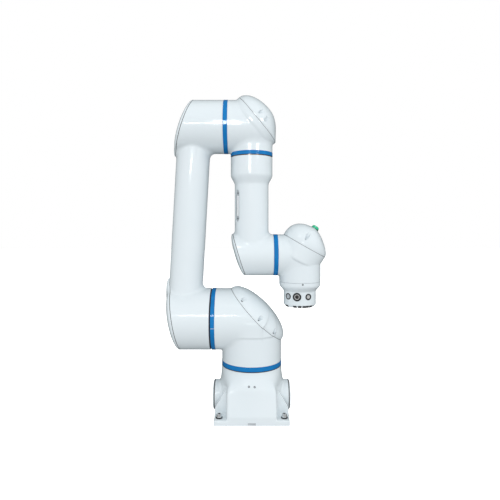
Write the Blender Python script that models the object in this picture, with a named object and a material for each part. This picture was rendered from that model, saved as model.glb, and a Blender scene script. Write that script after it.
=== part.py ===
"""Six-axis collaborative robot arm: hollow castings joined by drive units with hollow shafts.

Metres, +Z up. The origin is on the first joint's axis, on the surface that the base is bolted to.
The arm's plane is XZ, and the front of the base faces -Y.
"""

import math

import bmesh
import bpy
from mathutils import Matrix, Vector

# Joint axes
LOWER_AXIS_Z = 0.332
UPPER_AXIS_Z = 1.032
BEND_AXIS_Z = 0.565
TOOL_AXIS_X = 0.176

GAP = 0.0003
WALL = 0.009
TUBE_WALL = 0.0075
FLOOR = 0.008
CABLE_HOLE_R = {"shoulder": 0.034, "elbow": 0.030, "forearm": 0.024, "wrist": 0.025}

# Base
BASE_HALF_X = 0.128
BASE_HALF_Y = 0.140
BLOCK_HALF_X = 0.0845
BLOCK_SHOULDER_Z = 0.108
BLOCK_TOP_Z = 0.135
BLOCK_TOP_REAR_Y = 0.100
BLOCK_FRONT_LEAN = ((-0.140, 0.028), (-0.118, 0.135))
WEB_TOP = (0.0862, 0.108)
WEB_FOOT_Z = 0.0385
WEB_THICK = 0.022
NECK_R = 0.1085
NECK_TOP_Z = 0.1690
LUG_THICK = 0.017
LUG_DEPTH = 0.055
BOSS_R = 0.0515
BOSS_Z = 0.0555
BOSS_HALF_X = 0.1320
BOLT_X = 0.111
BOLT_Y = 0.115
BOLT_R = 0.006
PANEL_HALF_X = 0.060
PANEL_Z = (0.020, 0.088)
NOTCH_SIZE = (0.027, 0.003, 0.0095)

# Turret
TURRET_BOTTOM_Z = 0.1849
TURRET_V_R = 0.1075
TURRET_H_R = 0.1105
TURRET_STEP_Z = 0.285
TURRET_END_X = -0.1310
L_RING_END_X = -0.1450
TURRET_SEAM = ((-0.071, 0.439), (0.106, 0.259))
TURRET_DOME_H = 0.052

# Lower arm
ARM_SHOULDER_X = -0.1478
ARM_ELBOW_X = -0.1008
ARM_TUBE_R = 0.0608
ARM_TUBE_BOTTOM = (-0.2468, LOWER_AXIS_Z)
ARM_TUBE_TOP = (-0.2078, UPPER_AXIS_Z)
SHOULDER_CAP = ((-0.2985, 0.474), (-0.2520, 0.212))
SHOULDER_CAP_H = 0.031
ELBOW_CAP = ((-0.2085, 1.125), (-0.2790, 0.920))
ELBOW_CAP_H = 0.0235

# Elbow
ELBOW_START_X = -0.0853
ELBOW_H_R = 0.0965
ELBOW_V_R = 0.0760
ELBOW_BOTTOM_Z = 0.9385
ELBOW_SEAM = ((-0.048, 1.136), (0.0855, 0.975))
ELBOW_DOME_H = 0.0625
ELBOW_COLLAR = 0.020

# Forearm
FOREARM_TOP_Z = 0.9243
SLEEVE_R = 0.0760
SLEEVE_END_Z = 0.854
TUBE_START_Z = 0.820
FOREARM_TUBE_R = 0.0615
BEND_R = 0.0745
FOREARM_END_X = 0.0808
BEND_CAP = ((-0.0675, 0.637), (-0.0225, 0.4915))
BEND_CAP_H = 0.0168
SLOT_ANGLE = -57.0
SLOT_Z = (0.685, 0.800)
SLOT_WIDTH = 0.020
SLOT_DEPTH = 0.002

# Wrist
WRIST_START_X = 0.0943
WRIST_H_R = 0.0745
WRIST_V_R = 0.0750
WRIST_BOTTOM_Z = 0.4688
WRIST_SEAM = ((0.118, 0.640), (0.267, 0.556))
WRIST_DOME_H = 0.0735
WRIST_COLLAR = 0.060
LAMP_AT = (0.2310, 0.6600)
LAMP_NORMAL = (0.55, 0.835)
LAMP_R = 0.0137
LAMP_H = 0.0115

# Tool housing
TOOL_TOP_Z = 0.4682
TOOL_SHOULDER_Z = 0.455
TOOL_WAIST_Z = 0.434
TOOL_R = 0.0588
TOOL_CHAMFER_Z = 0.388
TOOL_FACE_Z = 0.379
TOOL_FACE_R = 0.0480
FLANGE_BOLT_CIRCLE_R = 0.025
PORT_Z = 0.4185
BUTTON_ANGLES = {"teach_button": -50.5, "record_button": 24.0}
CONNECTOR_ANGLE = -15.6

# Blue joint rings
RING_WALL = 0.008
RING_PROUD = 0.0006

SEGMENTS = 28
SMALL_SEGMENTS = 16
DRIVE_SEGMENTS = 12
CAP_STEPS = 4

X, Y, Z = Vector((1, 0, 0)), Vector((0, 1, 0)), Vector((0, 0, 1))
PIVOTS = {}


# ------------------------------------------------------------------ scene and materials


def clear_scene():
    for obj in list(bpy.data.objects):
        bpy.data.objects.remove(obj, do_unlink=True)


def material(name, colour, roughness, metallic=0.0):
    made = bpy.data.materials.get(name)
    if made:
        return made
    made = bpy.data.materials.new(name)
    made.use_nodes = True
    shader = made.node_tree.nodes["Principled BSDF"]
    shader.inputs["Base Color"].default_value = (*colour, 1.0)
    shader.inputs["Roughness"].default_value = roughness
    shader.inputs["Metallic"].default_value = metallic
    return made


def white_enamel():
    return material("white_enamel", (0.80, 0.83, 0.85), 0.22)


def blue_plastic():
    return material("blue_plastic", (0.015, 0.14, 0.46), 0.35)


def dark_rubber():
    return material("dark_rubber", (0.02, 0.02, 0.022), 0.7)


def steel():
    return material("steel", (0.55, 0.56, 0.57), 0.32, 1.0)


def cast_aluminium():
    return material("cast_aluminium", (0.62, 0.63, 0.64), 0.45, 1.0)


def copper_winding():
    return material("copper_winding", (0.55, 0.25, 0.10), 0.4, 1.0)


def black_plastic():
    return material("black_plastic", (0.025, 0.026, 0.028), 0.45)


def green_lens():
    return material("green_lens", (0.02, 0.42, 0.20), 0.15)


# ------------------------------------------------------------------ meshes


def mesh_from(bm):
    bmesh.ops.recalc_face_normals(bm, faces=bm.faces)
    mesh = bpy.data.meshes.new("mesh")
    bm.to_mesh(mesh)
    bm.free()
    return mesh


def facing(point, direction):
    """A matrix that takes +Z to a direction and the origin to a point."""
    turn = Vector(direction).to_track_quat("Z", "Y").to_matrix().to_4x4()
    return Matrix.Translation(Vector(point)) @ turn


def turned(profile, point, direction, segments=SEGMENTS):
    """A solid of revolution from (radius, height) points; a closed ring unless its ends lie on the axis."""
    bm = bmesh.new()
    place = facing(point, direction)
    rings = []
    for radius, height in profile:
        if radius == 0:
            rings.append([bm.verts.new(place @ Vector((0, 0, height)))])
            continue
        ring = []
        for step in range(segments):
            angle = 2 * math.pi * step / segments
            corner = Vector((radius * math.cos(angle), radius * math.sin(angle), height))
            ring.append(bm.verts.new(place @ corner))
        rings.append(ring)
    closed = profile[0][0] > 0
    pairs = list(zip(rings, rings[1:]))
    if closed:
        pairs.append((rings[-1], rings[0]))
    for low, high in pairs:
        for step in range(segments):
            after = (step + 1) % segments
            if len(low) == 1:
                bm.faces.new((low[0], high[step], high[after]))
            elif len(high) == 1:
                bm.faces.new((low[step], low[after], high[0]))
            else:
                bm.faces.new((low[step], low[after], high[after], high[step]))
    return mesh_from(bm)


def rod(radius, start, end, segments=SEGMENTS):
    start, end = Vector(start), Vector(end)
    length = (end - start).length
    return turned([(0, 0), (radius, 0), (radius, length), (0, length)], start, end - start, segments)


def washer(inner, outer, start, end, segments=SEGMENTS):
    start, end = Vector(start), Vector(end)
    length = (end - start).length
    profile = [(inner, 0), (outer, 0), (outer, length), (inner, length)]
    return turned(profile, start, end - start, segments)


def block(low, high):
    bm = bmesh.new()
    bmesh.ops.create_cube(bm, size=1.0)
    low, high = Vector(low), Vector(high)
    for vert in bm.verts:
        vert.co = Vector([(low[k] + high[k]) / 2 + vert.co[k] * (high[k] - low[k]) for k in range(3)])
    return mesh_from(bm)


def extruded(outline, shift):
    """A prism: a polygon of 3D points, pushed along a vector."""
    bm = bmesh.new()
    near = [bm.verts.new(p) for p in outline]
    far = [bm.verts.new(Vector(p) + Vector(shift)) for p in outline]
    bm.faces.new(near)
    bm.faces.new(list(reversed(far)))
    for k in range(len(outline)):
        after = (k + 1) % len(outline)
        bm.faces.new((near[k], near[after], far[after], far[k]))
    return mesh_from(bm)


def seam_axes(seam):
    """Of a cover's seam line in the XZ plane: its centre, half-length, direction and outward normal."""
    start = Vector((seam[0][0], 0, seam[0][1]))
    end = Vector((seam[1][0], 0, seam[1][1]))
    along = (end - start).normalized()
    return (start + end) / 2, (end - start).length / 2, along, along.cross(Y).normalized() * -1


def oval(centre, along, half_long, half_wide, segments=SEGMENTS):
    points = []
    for step in range(segments):
        angle = 2 * math.pi * step / segments
        points.append(centre + along * half_long * math.cos(angle) + Y * half_wide * math.sin(angle))
    return points


def collar(seam, half_wide, depth, draft, outward, inset=0.0):
    """The oval skirt below a cover, tapering away from the seam. With an inset, the bore inside it."""
    centre, half_long, along, _ = seam_axes(seam)
    bm = bmesh.new()
    above = 0.004 + inset
    top = oval(centre + outward * above, along, half_long - inset, half_wide - inset)
    low = oval(centre - outward * depth, along, half_long - inset - draft, half_wide - inset - draft)
    top = [bm.verts.new(p) for p in top]
    low = [bm.verts.new(p) for p in low]
    bm.faces.new(top)
    bm.faces.new(list(reversed(low)))
    for k in range(len(top)):
        after = (k + 1) % len(top)
        bm.faces.new((top[k], low[k], low[after], top[after]))
    return mesh_from(bm)


def dome(seam, outward, half_wide, height, wall, power=2.0, root=0.5, lean=0.0, lean_power=2.0, steps=6):
    """A hollow cover on an oval rim. Its height is (1 - rho ** power) ** root, less at the leaning end."""
    centre, half_long, along, _ = seam_axes(seam)
    centre = centre + outward * GAP
    bm = bmesh.new()

    def skin(long, wide, high):
        rings = []
        for step in range(steps):
            rho = math.cos(0.5 * math.pi * step / steps)
            ring = []
            for turn in range(SEGMENTS):
                angle = 2 * math.pi * turn / SEGMENTS
                share = max(0.0, rho * math.cos(angle))
                rise = high * (1 - rho**power) ** root * (1 - lean * share**lean_power)
                flat = along * long * rho * math.cos(angle) + Y * wide * rho * math.sin(angle)
                ring.append(bm.verts.new(centre + flat + outward * rise))
            rings.append(ring)
        rings.append([bm.verts.new(centre + outward * high)])
        return rings

    outer = skin(half_long, half_wide, height)
    inner = skin(half_long - wall, half_wide - wall, height - wall)
    for rings in (outer, inner):
        for low, high in zip(rings, rings[1:]):
            for k in range(SEGMENTS):
                after = (k + 1) % SEGMENTS
                if len(high) == 1:
                    bm.faces.new((low[k], low[after], high[0]))
                else:
                    bm.faces.new((low[k], low[after], high[after], high[k]))
    for k in range(SEGMENTS):
        after = (k + 1) % SEGMENTS
        bm.faces.new((outer[0][k], outer[0][after], inner[0][after], inner[0][k]))
    return mesh_from(bm)


def beyond(seam, outward, size=0.5, shift=0.0):
    """A large block on the outer side of a seam plane, for cutting a casting there."""
    centre, _, along, _ = seam_axes(seam)
    base = centre + outward * shift
    corners = []
    for u, v in ((-1, -1), (1, -1), (1, 1), (-1, 1)):
        corners.append(base + along * u * size / 2 + Y * v * size / 2)
    return extruded(corners, outward * size / 2)


# ------------------------------------------------------------------ objects


def pivot(name, at, parent=None):
    empty = bpy.data.objects.new(name, None)
    bpy.context.scene.collection.objects.link(empty)
    empty.empty_display_size = 0.05
    at = Vector(at)
    empty.location = at
    if parent:
        empty.parent = PIVOTS[parent][0]
        empty.location = at - PIVOTS[parent][1]
    PIVOTS[name] = (empty, at)


def node(name, mesh, finish, on):
    """A piece under the pivot that it moves with. Its mesh is given in the arm's own frame."""
    empty, at = PIVOTS[on]
    mesh.transform(Matrix.Translation(-at))
    mesh.name = name
    mesh.materials.append(finish)
    mesh.shade_smooth()
    mesh.set_sharp_from_angle(angle=math.radians(32))
    obj = bpy.data.objects.new(name, mesh)
    bpy.context.scene.collection.objects.link(obj)
    obj.parent = empty
    return obj


def shape(target, mesh, operation, solver="EXACT"):
    """Adds a hidden helper shape to a piece, or cuts it away."""
    helper_name = f"{target.name}_helper_{len(target.modifiers)}"
    mesh.transform(Matrix.Translation(-PIVOTS[target.parent.name][1]))
    helper = bpy.data.objects.new(helper_name, mesh)
    bpy.context.scene.collection.objects.link(helper)
    helper.parent = target
    helper.hide_render = True
    helper.hide_viewport = False
    helper.display_type = "WIRE"
    modifier = target.modifiers.new(operation.lower(), "BOOLEAN")
    modifier.operation = operation
    modifier.solver = solver
    modifier.object = helper


def casting(name, on, solids, cuts, solver="MANIFOLD"):
    """A hollow casting: the union of its solids, less its bores, floor holes and seam cuts."""
    obj = node(name, solids[0], white_enamel(), on)
    for mesh in solids[1:]:
        shape(obj, mesh, "UNION", solver)
    for mesh in cuts:
        shape(obj, mesh, "DIFFERENCE", solver)
    return obj


def joint_ring(name, on, radius, start, end):
    outer = radius + RING_PROUD
    node(name, washer(outer - RING_WALL, outer, start, end), blue_plastic(), on)


# ------------------------------------------------------------------ drive units


def drive_unit(prefix, fixed_on, rotor_on, output_on, start, end, radius, brake):
    """A frameless motor and strain-wave gear round one hollow shaft, from fixed end to output face."""
    start, end = Vector(start), Vector(end)
    axis = (end - start).normalized()
    length = (end - start).length / 1.08

    def ring(name, points, finish, on):
        profile = [(r * radius, h * length) for r, h in points]
        node(f"{prefix}_{name}", turned(profile, start, axis, DRIVE_SEGMENTS), finish, on)

    def band(inner, outer, low, high):
        return [(inner, low), (outer, low), (outer, high), (inner, high)]

    if brake:
        ring("brake_and_encoder", band(0.45, 0.80, 0.0, 0.12), black_plastic(), fixed_on)
    ring("motor_stator", band(0.64, 0.96, 0.17, 0.52), copper_winding(), fixed_on)
    rotor = [(0.26, -0.03), (0.34, -0.03), (0.34, 0.19), (0.61, 0.19), (0.61, 0.50), (0.34, 0.50)]
    rotor += [(0.34, 0.62), (0.50, 0.62), (0.50, 0.74), (0.34, 0.74), (0.34, 0.90), (0.26, 0.90)]
    ring("motor_rotor", rotor, steel(), rotor_on)
    ring("gear_ring", band(0.70, 1.0, 0.58, 0.96), steel(), fixed_on)
    cup = [(0.55, 0.60), (0.66, 0.60), (0.66, 1.0), (0.86, 1.0), (0.86, 1.08), (0.40, 1.08), (0.40, 1.0)]
    ring("output_flange", cup + [(0.55, 1.0)], cast_aluminium(), output_on)


# ------------------------------------------------------------------ base


def gusset(side, end):
    """The web behind a mounting lug, its top edge falling from the neck to the lug's outer edge."""
    inside = BLOCK_HALF_X - 0.0045
    outline = [(inside, 0.002), (BASE_HALF_X, 0.002), (BASE_HALF_X, WEB_FOOT_Z)]
    outline += [WEB_TOP, (inside, WEB_TOP[1])]
    face = BASE_HALF_Y - LUG_DEPTH
    points = [(side * x, end * face, z) for x, z in outline]
    return extruded(points, (0, -end * WEB_THICK, 0))


def base_block():
    outline = [(-BASE_HALF_Y, 0.0), (BASE_HALF_Y, 0.0), (BASE_HALF_Y, BLOCK_SHOULDER_Z)]
    outline += [(BLOCK_TOP_REAR_Y, BLOCK_TOP_Z), BLOCK_FRONT_LEAN[1], BLOCK_FRONT_LEAN[0]]
    points = [(-BLOCK_HALF_X, y, z) for y, z in outline]
    return extruded(points, (2 * BLOCK_HALF_X, 0, 0))


def make_base():
    solids = [base_block(), rod(NECK_R, (0, 0, 0.001), (0, 0, NECK_TOP_Z))]
    foot_y = BASE_HALF_Y - 0.0005
    solids.append(block((-BASE_HALF_X, -foot_y, 0.0), (BASE_HALF_X, foot_y, LUG_THICK)))
    for side in (-1, 1):
        solids += [gusset(side, -1), gusset(side, 1)]
        solids.append(rod(BOSS_R, (side * 0.05, 0, BOSS_Z), (side * BOSS_HALF_X, 0, BOSS_Z)))
    cuts = [rod(NECK_R - 2 * WALL, (0, 0, FLOOR), (0, 0, NECK_TOP_Z + 0.01))]
    for side in (-1, 1):
        cuts.append(rod(BOSS_R - WALL, (side * 0.08, 0, BOSS_Z), (side * (BOSS_HALF_X + 0.01), 0, BOSS_Z)))
        for end in (-1, 1):
            at = Vector((side * BOLT_X, end * BOLT_Y, 0))
            cuts.append(rod(BOLT_R + 0.001, at - Z * 0.01, at + Z * 0.03, 16))
    cuts.append(block((-PANEL_HALF_X, 0.06, PANEL_Z[0]), (PANEL_HALF_X, BASE_HALF_Y + 0.01, PANEL_Z[1])))
    wide, deep, high = NOTCH_SIZE
    cuts.append(block((-wide / 2, -BASE_HALF_Y - 0.01, -0.01), (wide / 2, -BASE_HALF_Y + deep, high)))
    casting("base_casting", "base_frame", solids, cuts)
    for side, word in ((-1, "left"), (1, "right")):
        profile = [(0, 0), (0.0495, 0), (0.0510, 0.0015), (0.0490, 0.0050), (0.0300, 0.0076), (0, 0.0085)]
        start = (side * (BOSS_HALF_X + GAP), 0, BOSS_Z)
        node(f"base_cover_{word}", turned(profile, start, X * side), white_enamel(), "base_frame")
    for number, (side, end) in enumerate(((-1, -1), (1, -1), (-1, 1), (1, 1)), 1):
        base_bolt(number, side * BOLT_X, end * BOLT_Y)
    rear_panel()


def base_bolt(number, x, y):
    """A socket-head bolt with its washer, standing in its lug hole."""
    seat = LUG_THICK + GAP
    profile = [(0, 0.001), (BOLT_R, 0.001), (BOLT_R, seat), (0.0120, seat), (0.0120, seat + 0.0025)]
    profile += [(0.0090, seat + 0.0025), (0.0090, seat + 0.0140), (0.0050, seat + 0.0140)]
    profile += [(0.0050, seat + 0.0080), (0, seat + 0.0080)]
    node(f"base_bolt_{number}", turned(profile, (x, y, 0), Z, DRIVE_SEGMENTS), steel(), "base_frame")


def rear_panel():
    """The connector panel in the back of the base, with its power inlet and signal connector."""
    low = (-PANEL_HALF_X + GAP, BASE_HALF_Y - 0.008, PANEL_Z[0] + GAP)
    high = (PANEL_HALF_X - GAP, BASE_HALF_Y - 0.002, PANEL_Z[1] - GAP)
    node("base_rear_panel", block(low, high), black_plastic(), "base_frame")
    face = BASE_HALF_Y - 0.002 + GAP
    middle = (PANEL_Z[0] + PANEL_Z[1]) / 2
    for name, x, radius in (("power_inlet", -0.028, 0.0150), ("signal_connector", 0.028, 0.0125)):
        profile = [(0, 0), (radius + 0.005, 0), (radius + 0.005, 0.003), (radius, 0.003), (radius, 0.018)]
        profile += [(radius - 0.002, 0.018), (radius - 0.002, 0.005), (0, 0.005)]
        node(name, turned(profile, (x, face, middle), Y, SMALL_SEGMENTS), steel(), "base_frame")


# ------------------------------------------------------------------ turret


def seam_outward(seam, hint):
    """The seam plane's normal on the side of a hint vector."""
    _, _, along, normal = seam_axes(seam)
    return normal if normal.dot(Vector(hint)) > 0 else -normal


def make_turret():
    up = seam_outward(TURRET_SEAM, (1, 0, 1))
    profile = [(0, 0), (TURRET_V_R, 0), (TURRET_V_R, TURRET_STEP_Z - TURRET_BOTTOM_Z)]
    profile += [(TURRET_H_R, TURRET_STEP_Z - TURRET_BOTTOM_Z + 0.006), (TURRET_H_R, 0.149), (0, 0.149)]
    solids = [turned(profile, (0, 0, TURRET_BOTTOM_Z), Z)]
    solids.append(rod(TURRET_H_R, (TURRET_END_X, 0, LOWER_AXIS_Z), (0.036, 0, LOWER_AXIS_Z)))
    inside = TURRET_V_R - WALL
    cuts = [rod(inside, (0, 0, TURRET_BOTTOM_Z + FLOOR), (0, 0, LOWER_AXIS_Z))]
    hole_low, hole_high = Z * (TURRET_BOTTOM_Z - 0.01), Z * (TURRET_BOTTOM_Z + 0.03)
    cuts.append(rod(CABLE_HOLE_R["shoulder"], hole_low, hole_high, SMALL_SEGMENTS))
    cuts.append(rod(TURRET_H_R - WALL, (TURRET_END_X - 0.01, 0, LOWER_AXIS_Z), (0.020, 0, LOWER_AXIS_Z)))
    cuts.append(beyond(TURRET_SEAM, up))
    casting("turret_casting", "axis_s", solids, cuts)
    cover = dome(TURRET_SEAM, up, TURRET_H_R, TURRET_DOME_H, 0.005)
    node("turret_cover", cover, white_enamel(), "axis_s")
    ring_low, ring_high = Z * (NECK_TOP_Z + GAP), Z * (TURRET_BOTTOM_Z - GAP)
    joint_ring("s_joint_ring", "axis_s", TURRET_V_R, ring_low, ring_high)
    lower = Vector((0, 0, LOWER_AXIS_Z))
    ring_right, ring_left = lower + X * (TURRET_END_X - GAP), lower + X * L_RING_END_X
    joint_ring("l_joint_ring", "axis_s", TURRET_H_R, ring_right, ring_left)


# ------------------------------------------------------------------ lower arm


def make_lower_arm():
    left = seam_outward(SHOULDER_CAP, (-1, 0, 0))
    upper_left = seam_outward(ELBOW_CAP, (-1, 0, 0))
    low = Vector((0, 0, LOWER_AXIS_Z))
    high = Vector((0, 0, UPPER_AXIS_Z))
    tube_low = Vector((ARM_TUBE_BOTTOM[0], 0, ARM_TUBE_BOTTOM[1]))
    tube_high = Vector((ARM_TUBE_TOP[0], 0, ARM_TUBE_TOP[1]))
    solids = [rod(TURRET_H_R, low + X * ARM_SHOULDER_X, low - X * 0.330)]
    solids.append(rod(ARM_TUBE_R, tube_low, tube_high))
    solids.append(rod(ELBOW_H_R, high + X * ARM_ELBOW_X, high - X * 0.300))
    cuts = [rod(TURRET_H_R - WALL, low + X * (ARM_SHOULDER_X - FLOOR), low - X * 0.340)]
    hole_right, hole_left = low + X * (ARM_SHOULDER_X + 0.01), low + X * (ARM_SHOULDER_X - 0.03)
    cuts.append(rod(CABLE_HOLE_R["shoulder"], hole_right, hole_left, SMALL_SEGMENTS))
    cuts.append(rod(ARM_TUBE_R - TUBE_WALL, tube_low, tube_high))
    cuts.append(rod(ELBOW_H_R - WALL, high + X * (ARM_ELBOW_X + 0.01), high - X * 0.310))
    cuts.append(beyond(SHOULDER_CAP, left, 0.36))
    cuts.append(beyond(ELBOW_CAP, upper_left, 0.36))
    casting("lower_arm_casting", "axis_l", solids, cuts)
    reach = TURRET_H_R - 0.004
    shoulder = dome(SHOULDER_CAP, left, reach, SHOULDER_CAP_H, 0.004, 2.0, 1.0, steps=CAP_STEPS)
    node("shoulder_end_cap", shoulder, white_enamel(), "axis_l")
    reach = ELBOW_H_R - 0.003
    elbow = dome(ELBOW_CAP, upper_left, reach, ELBOW_CAP_H, 0.004, 2.0, 1.0, steps=CAP_STEPS)
    node("elbow_end_cap", elbow, white_enamel(), "axis_l")
    seal_right, seal_left = low + X * (L_RING_END_X - GAP), low + X * (ARM_SHOULDER_X + GAP)
    seal = washer(TURRET_H_R - 0.009, TURRET_H_R - 0.0010, seal_right, seal_left)
    node("l_joint_seal", seal, dark_rubber(), "axis_l")
    ring_left, ring_right = high + X * (ARM_ELBOW_X + GAP), high + X * (ELBOW_START_X - GAP)
    joint_ring("u_joint_ring", "axis_l", ELBOW_H_R, ring_left, ring_right)


# ------------------------------------------------------------------ elbow


def make_elbow():
    up = seam_outward(ELBOW_SEAM, (1, 0, 1))
    high = Vector((0, 0, UPPER_AXIS_Z))
    profile = [(0, 0), (ELBOW_H_R, 0), (ELBOW_H_R, -ELBOW_START_X)]
    for step in range(1, 7):
        angle = 0.5 * math.pi * step / 7
        profile.append((ELBOW_H_R * math.cos(angle), -ELBOW_START_X + ELBOW_H_R * math.sin(angle)))
    profile.append((0, -ELBOW_START_X + ELBOW_H_R))
    solids = [turned(profile, high + X * ELBOW_START_X, X)]
    solids.append(rod(ELBOW_V_R, (0, 0, ELBOW_BOTTOM_Z), (0, 0, 1.02)))
    solids.append(collar(ELBOW_SEAM, ELBOW_H_R, ELBOW_COLLAR, 0.008, up))
    cuts = [rod(ELBOW_H_R - WALL, high + X * (ELBOW_START_X + FLOOR), high + X * 0.01)]
    hole_left, hole_right = high + X * (ELBOW_START_X - 0.01), high + X * (ELBOW_START_X + 0.03)
    cuts.append(rod(CABLE_HOLE_R["elbow"], hole_left, hole_right, SMALL_SEGMENTS))
    cuts.append(rod(ELBOW_V_R - WALL + 0.0005, (0, 0, ELBOW_BOTTOM_Z - 0.01), (0, 0, 1.05)))
    cuts.append(rod(ELBOW_V_R + 0.0020, (0, 0, ELBOW_BOTTOM_Z - 0.02), (0, 0, ELBOW_BOTTOM_Z)))
    cuts.append(collar(ELBOW_SEAM, ELBOW_H_R, ELBOW_COLLAR + 0.010, 0.008, up, WALL))
    cuts.append(beyond(ELBOW_SEAM, up))
    casting("elbow_casting", "axis_u", solids, cuts)
    cover = dome(ELBOW_SEAM, up, ELBOW_H_R, ELBOW_DOME_H, 0.005, 2.0, 0.5, 0.80, 2.5)
    node("elbow_cover", cover, white_enamel(), "axis_u")
    ring_high, ring_low = Z * (ELBOW_BOTTOM_Z - GAP), Z * (FOREARM_TOP_Z + GAP)
    joint_ring("r_joint_ring", "axis_u", ELBOW_V_R, ring_high, ring_low)


# ------------------------------------------------------------------ forearm


def slot_cutter():
    """A long upright recess with round ends, on the left of the forearm's front."""
    angle = math.radians(SLOT_ANGLE)
    out = Vector((math.sin(angle), -math.cos(angle), 0))
    across = Vector((math.cos(angle), math.sin(angle), 0))
    radius = SLOT_WIDTH / 2
    floor = out * (FOREARM_TUBE_R - SLOT_DEPTH)
    points = []
    for centre_z, first in ((SLOT_Z[1] - radius, 0), (SLOT_Z[0] + radius, 180)):
        for step in range(7):
            turn = math.radians(first + 30 * step)
            level = centre_z + radius * math.sin(turn)
            points.append(floor + across * radius * math.cos(turn) + Z * level)
    return extruded(points, out * 0.02)


def make_forearm():
    left = seam_outward(BEND_CAP, (-1, 0, 0))
    bend = Vector((0, 0, BEND_AXIS_Z))
    top = FOREARM_TOP_Z
    cone_end, tube_end = top - TUBE_START_Z, top - BEND_AXIS_Z
    profile = [(0, 0), (SLEEVE_R, 0), (SLEEVE_R, top - SLEEVE_END_Z), (FOREARM_TUBE_R + 0.001, cone_end)]
    profile += [(FOREARM_TUBE_R, cone_end + 0.01), (FOREARM_TUBE_R, tube_end), (0, tube_end)]
    solids = [turned(profile, (0, 0, top), -Z)]
    solids.append(rod(BEND_R, bend + X * FOREARM_END_X, bend - X * 0.10))
    cuts = [rod(FOREARM_TUBE_R - TUBE_WALL, (0, 0, top - FLOOR), (0, 0, BEND_AXIS_Z))]
    cuts.append(rod(SLEEVE_R - WALL, (0, 0, top - FLOOR), (0, 0, SLEEVE_END_Z + 0.004)))
    hole_r = CABLE_HOLE_R["forearm"]
    cuts.append(rod(hole_r, (0, 0, top + 0.01), (0, 0, top - 0.03), SMALL_SEGMENTS))
    cuts.append(rod(BEND_R - 0.0080, bend + X * (FOREARM_END_X + 0.01), bend - X * 0.11))
    cuts.append(slot_cutter())
    cuts.append(beyond(BEND_CAP, left, 0.30))
    casting("forearm_casting", "axis_r", solids, cuts)
    cap = dome(BEND_CAP, left, BEND_R - 0.002, BEND_CAP_H, 0.004, 2.0, 1.0, steps=CAP_STEPS)
    node("forearm_end_cap", cap, white_enamel(), "axis_r")
    ring_left, ring_right = bend + X * (FOREARM_END_X + GAP), bend + X * (WRIST_START_X - GAP)
    joint_ring("b_joint_ring", "axis_r", BEND_R, ring_left, ring_right)


# ------------------------------------------------------------------ wrist


def make_wrist():
    up = seam_outward(WRIST_SEAM, (1, 0, 1))
    bend = Vector((0, 0, BEND_AXIS_Z))
    tool = Vector((TOOL_AXIS_X, 0, 0))
    solids = [rod(WRIST_H_R, bend + X * WRIST_START_X, bend + tool)]
    solids.append(rod(WRIST_V_R, tool + Z * WRIST_BOTTOM_Z, tool + Z * 0.566))
    solids.append(collar(WRIST_SEAM, 0.0800, WRIST_COLLAR, 0.006, up))
    cuts = [rod(WRIST_H_R - 0.007, bend + X * (WRIST_START_X + FLOOR), bend + tool)]
    hole_left, hole_right = bend + X * (WRIST_START_X - 0.01), bend + X * (WRIST_START_X + 0.03)
    cuts.append(rod(CABLE_HOLE_R["wrist"], hole_left, hole_right, SMALL_SEGMENTS))
    cuts.append(rod(WRIST_V_R - 0.007, tool + Z * (WRIST_BOTTOM_Z - 0.01), tool + Z * 0.568))
    cuts.append(collar(WRIST_SEAM, 0.0800, WRIST_COLLAR, 0.006, up, 0.007))
    cuts.append(beyond(WRIST_SEAM, up))
    casting("wrist_casting", "axis_b", solids, cuts)
    cover = dome(WRIST_SEAM, up, 0.0800, WRIST_DOME_H, 0.005, 2.4, 1 / 2.4, 0.585, 1.42)
    cover = node("wrist_cover", cover, white_enamel(), "axis_b")
    normal = Vector((LAMP_NORMAL[0], 0, LAMP_NORMAL[1])).normalized()
    at = Vector((LAMP_AT[0], 0, LAMP_AT[1]))
    shape(cover, rod(LAMP_R - 0.0015, at - normal * 0.03, at + normal * 0.02, SMALL_SEGMENTS), "DIFFERENCE")
    stem = LAMP_R - 0.0025
    profile = [(0, -0.012), (stem, -0.012), (stem, 0.001), (LAMP_R, 0.001), (LAMP_R, 0.0040)]
    profile += [(0.0125, 0.0080), (0.0080, 0.0107), (0, LAMP_H)]
    node("status_lamp", turned(profile, at, normal, SMALL_SEGMENTS), green_lens(), "axis_b")


# ------------------------------------------------------------------ tool housing


def port_axis(angle):
    angle = math.radians(angle)
    return Vector((math.sin(angle), -math.cos(angle), 0))


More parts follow.
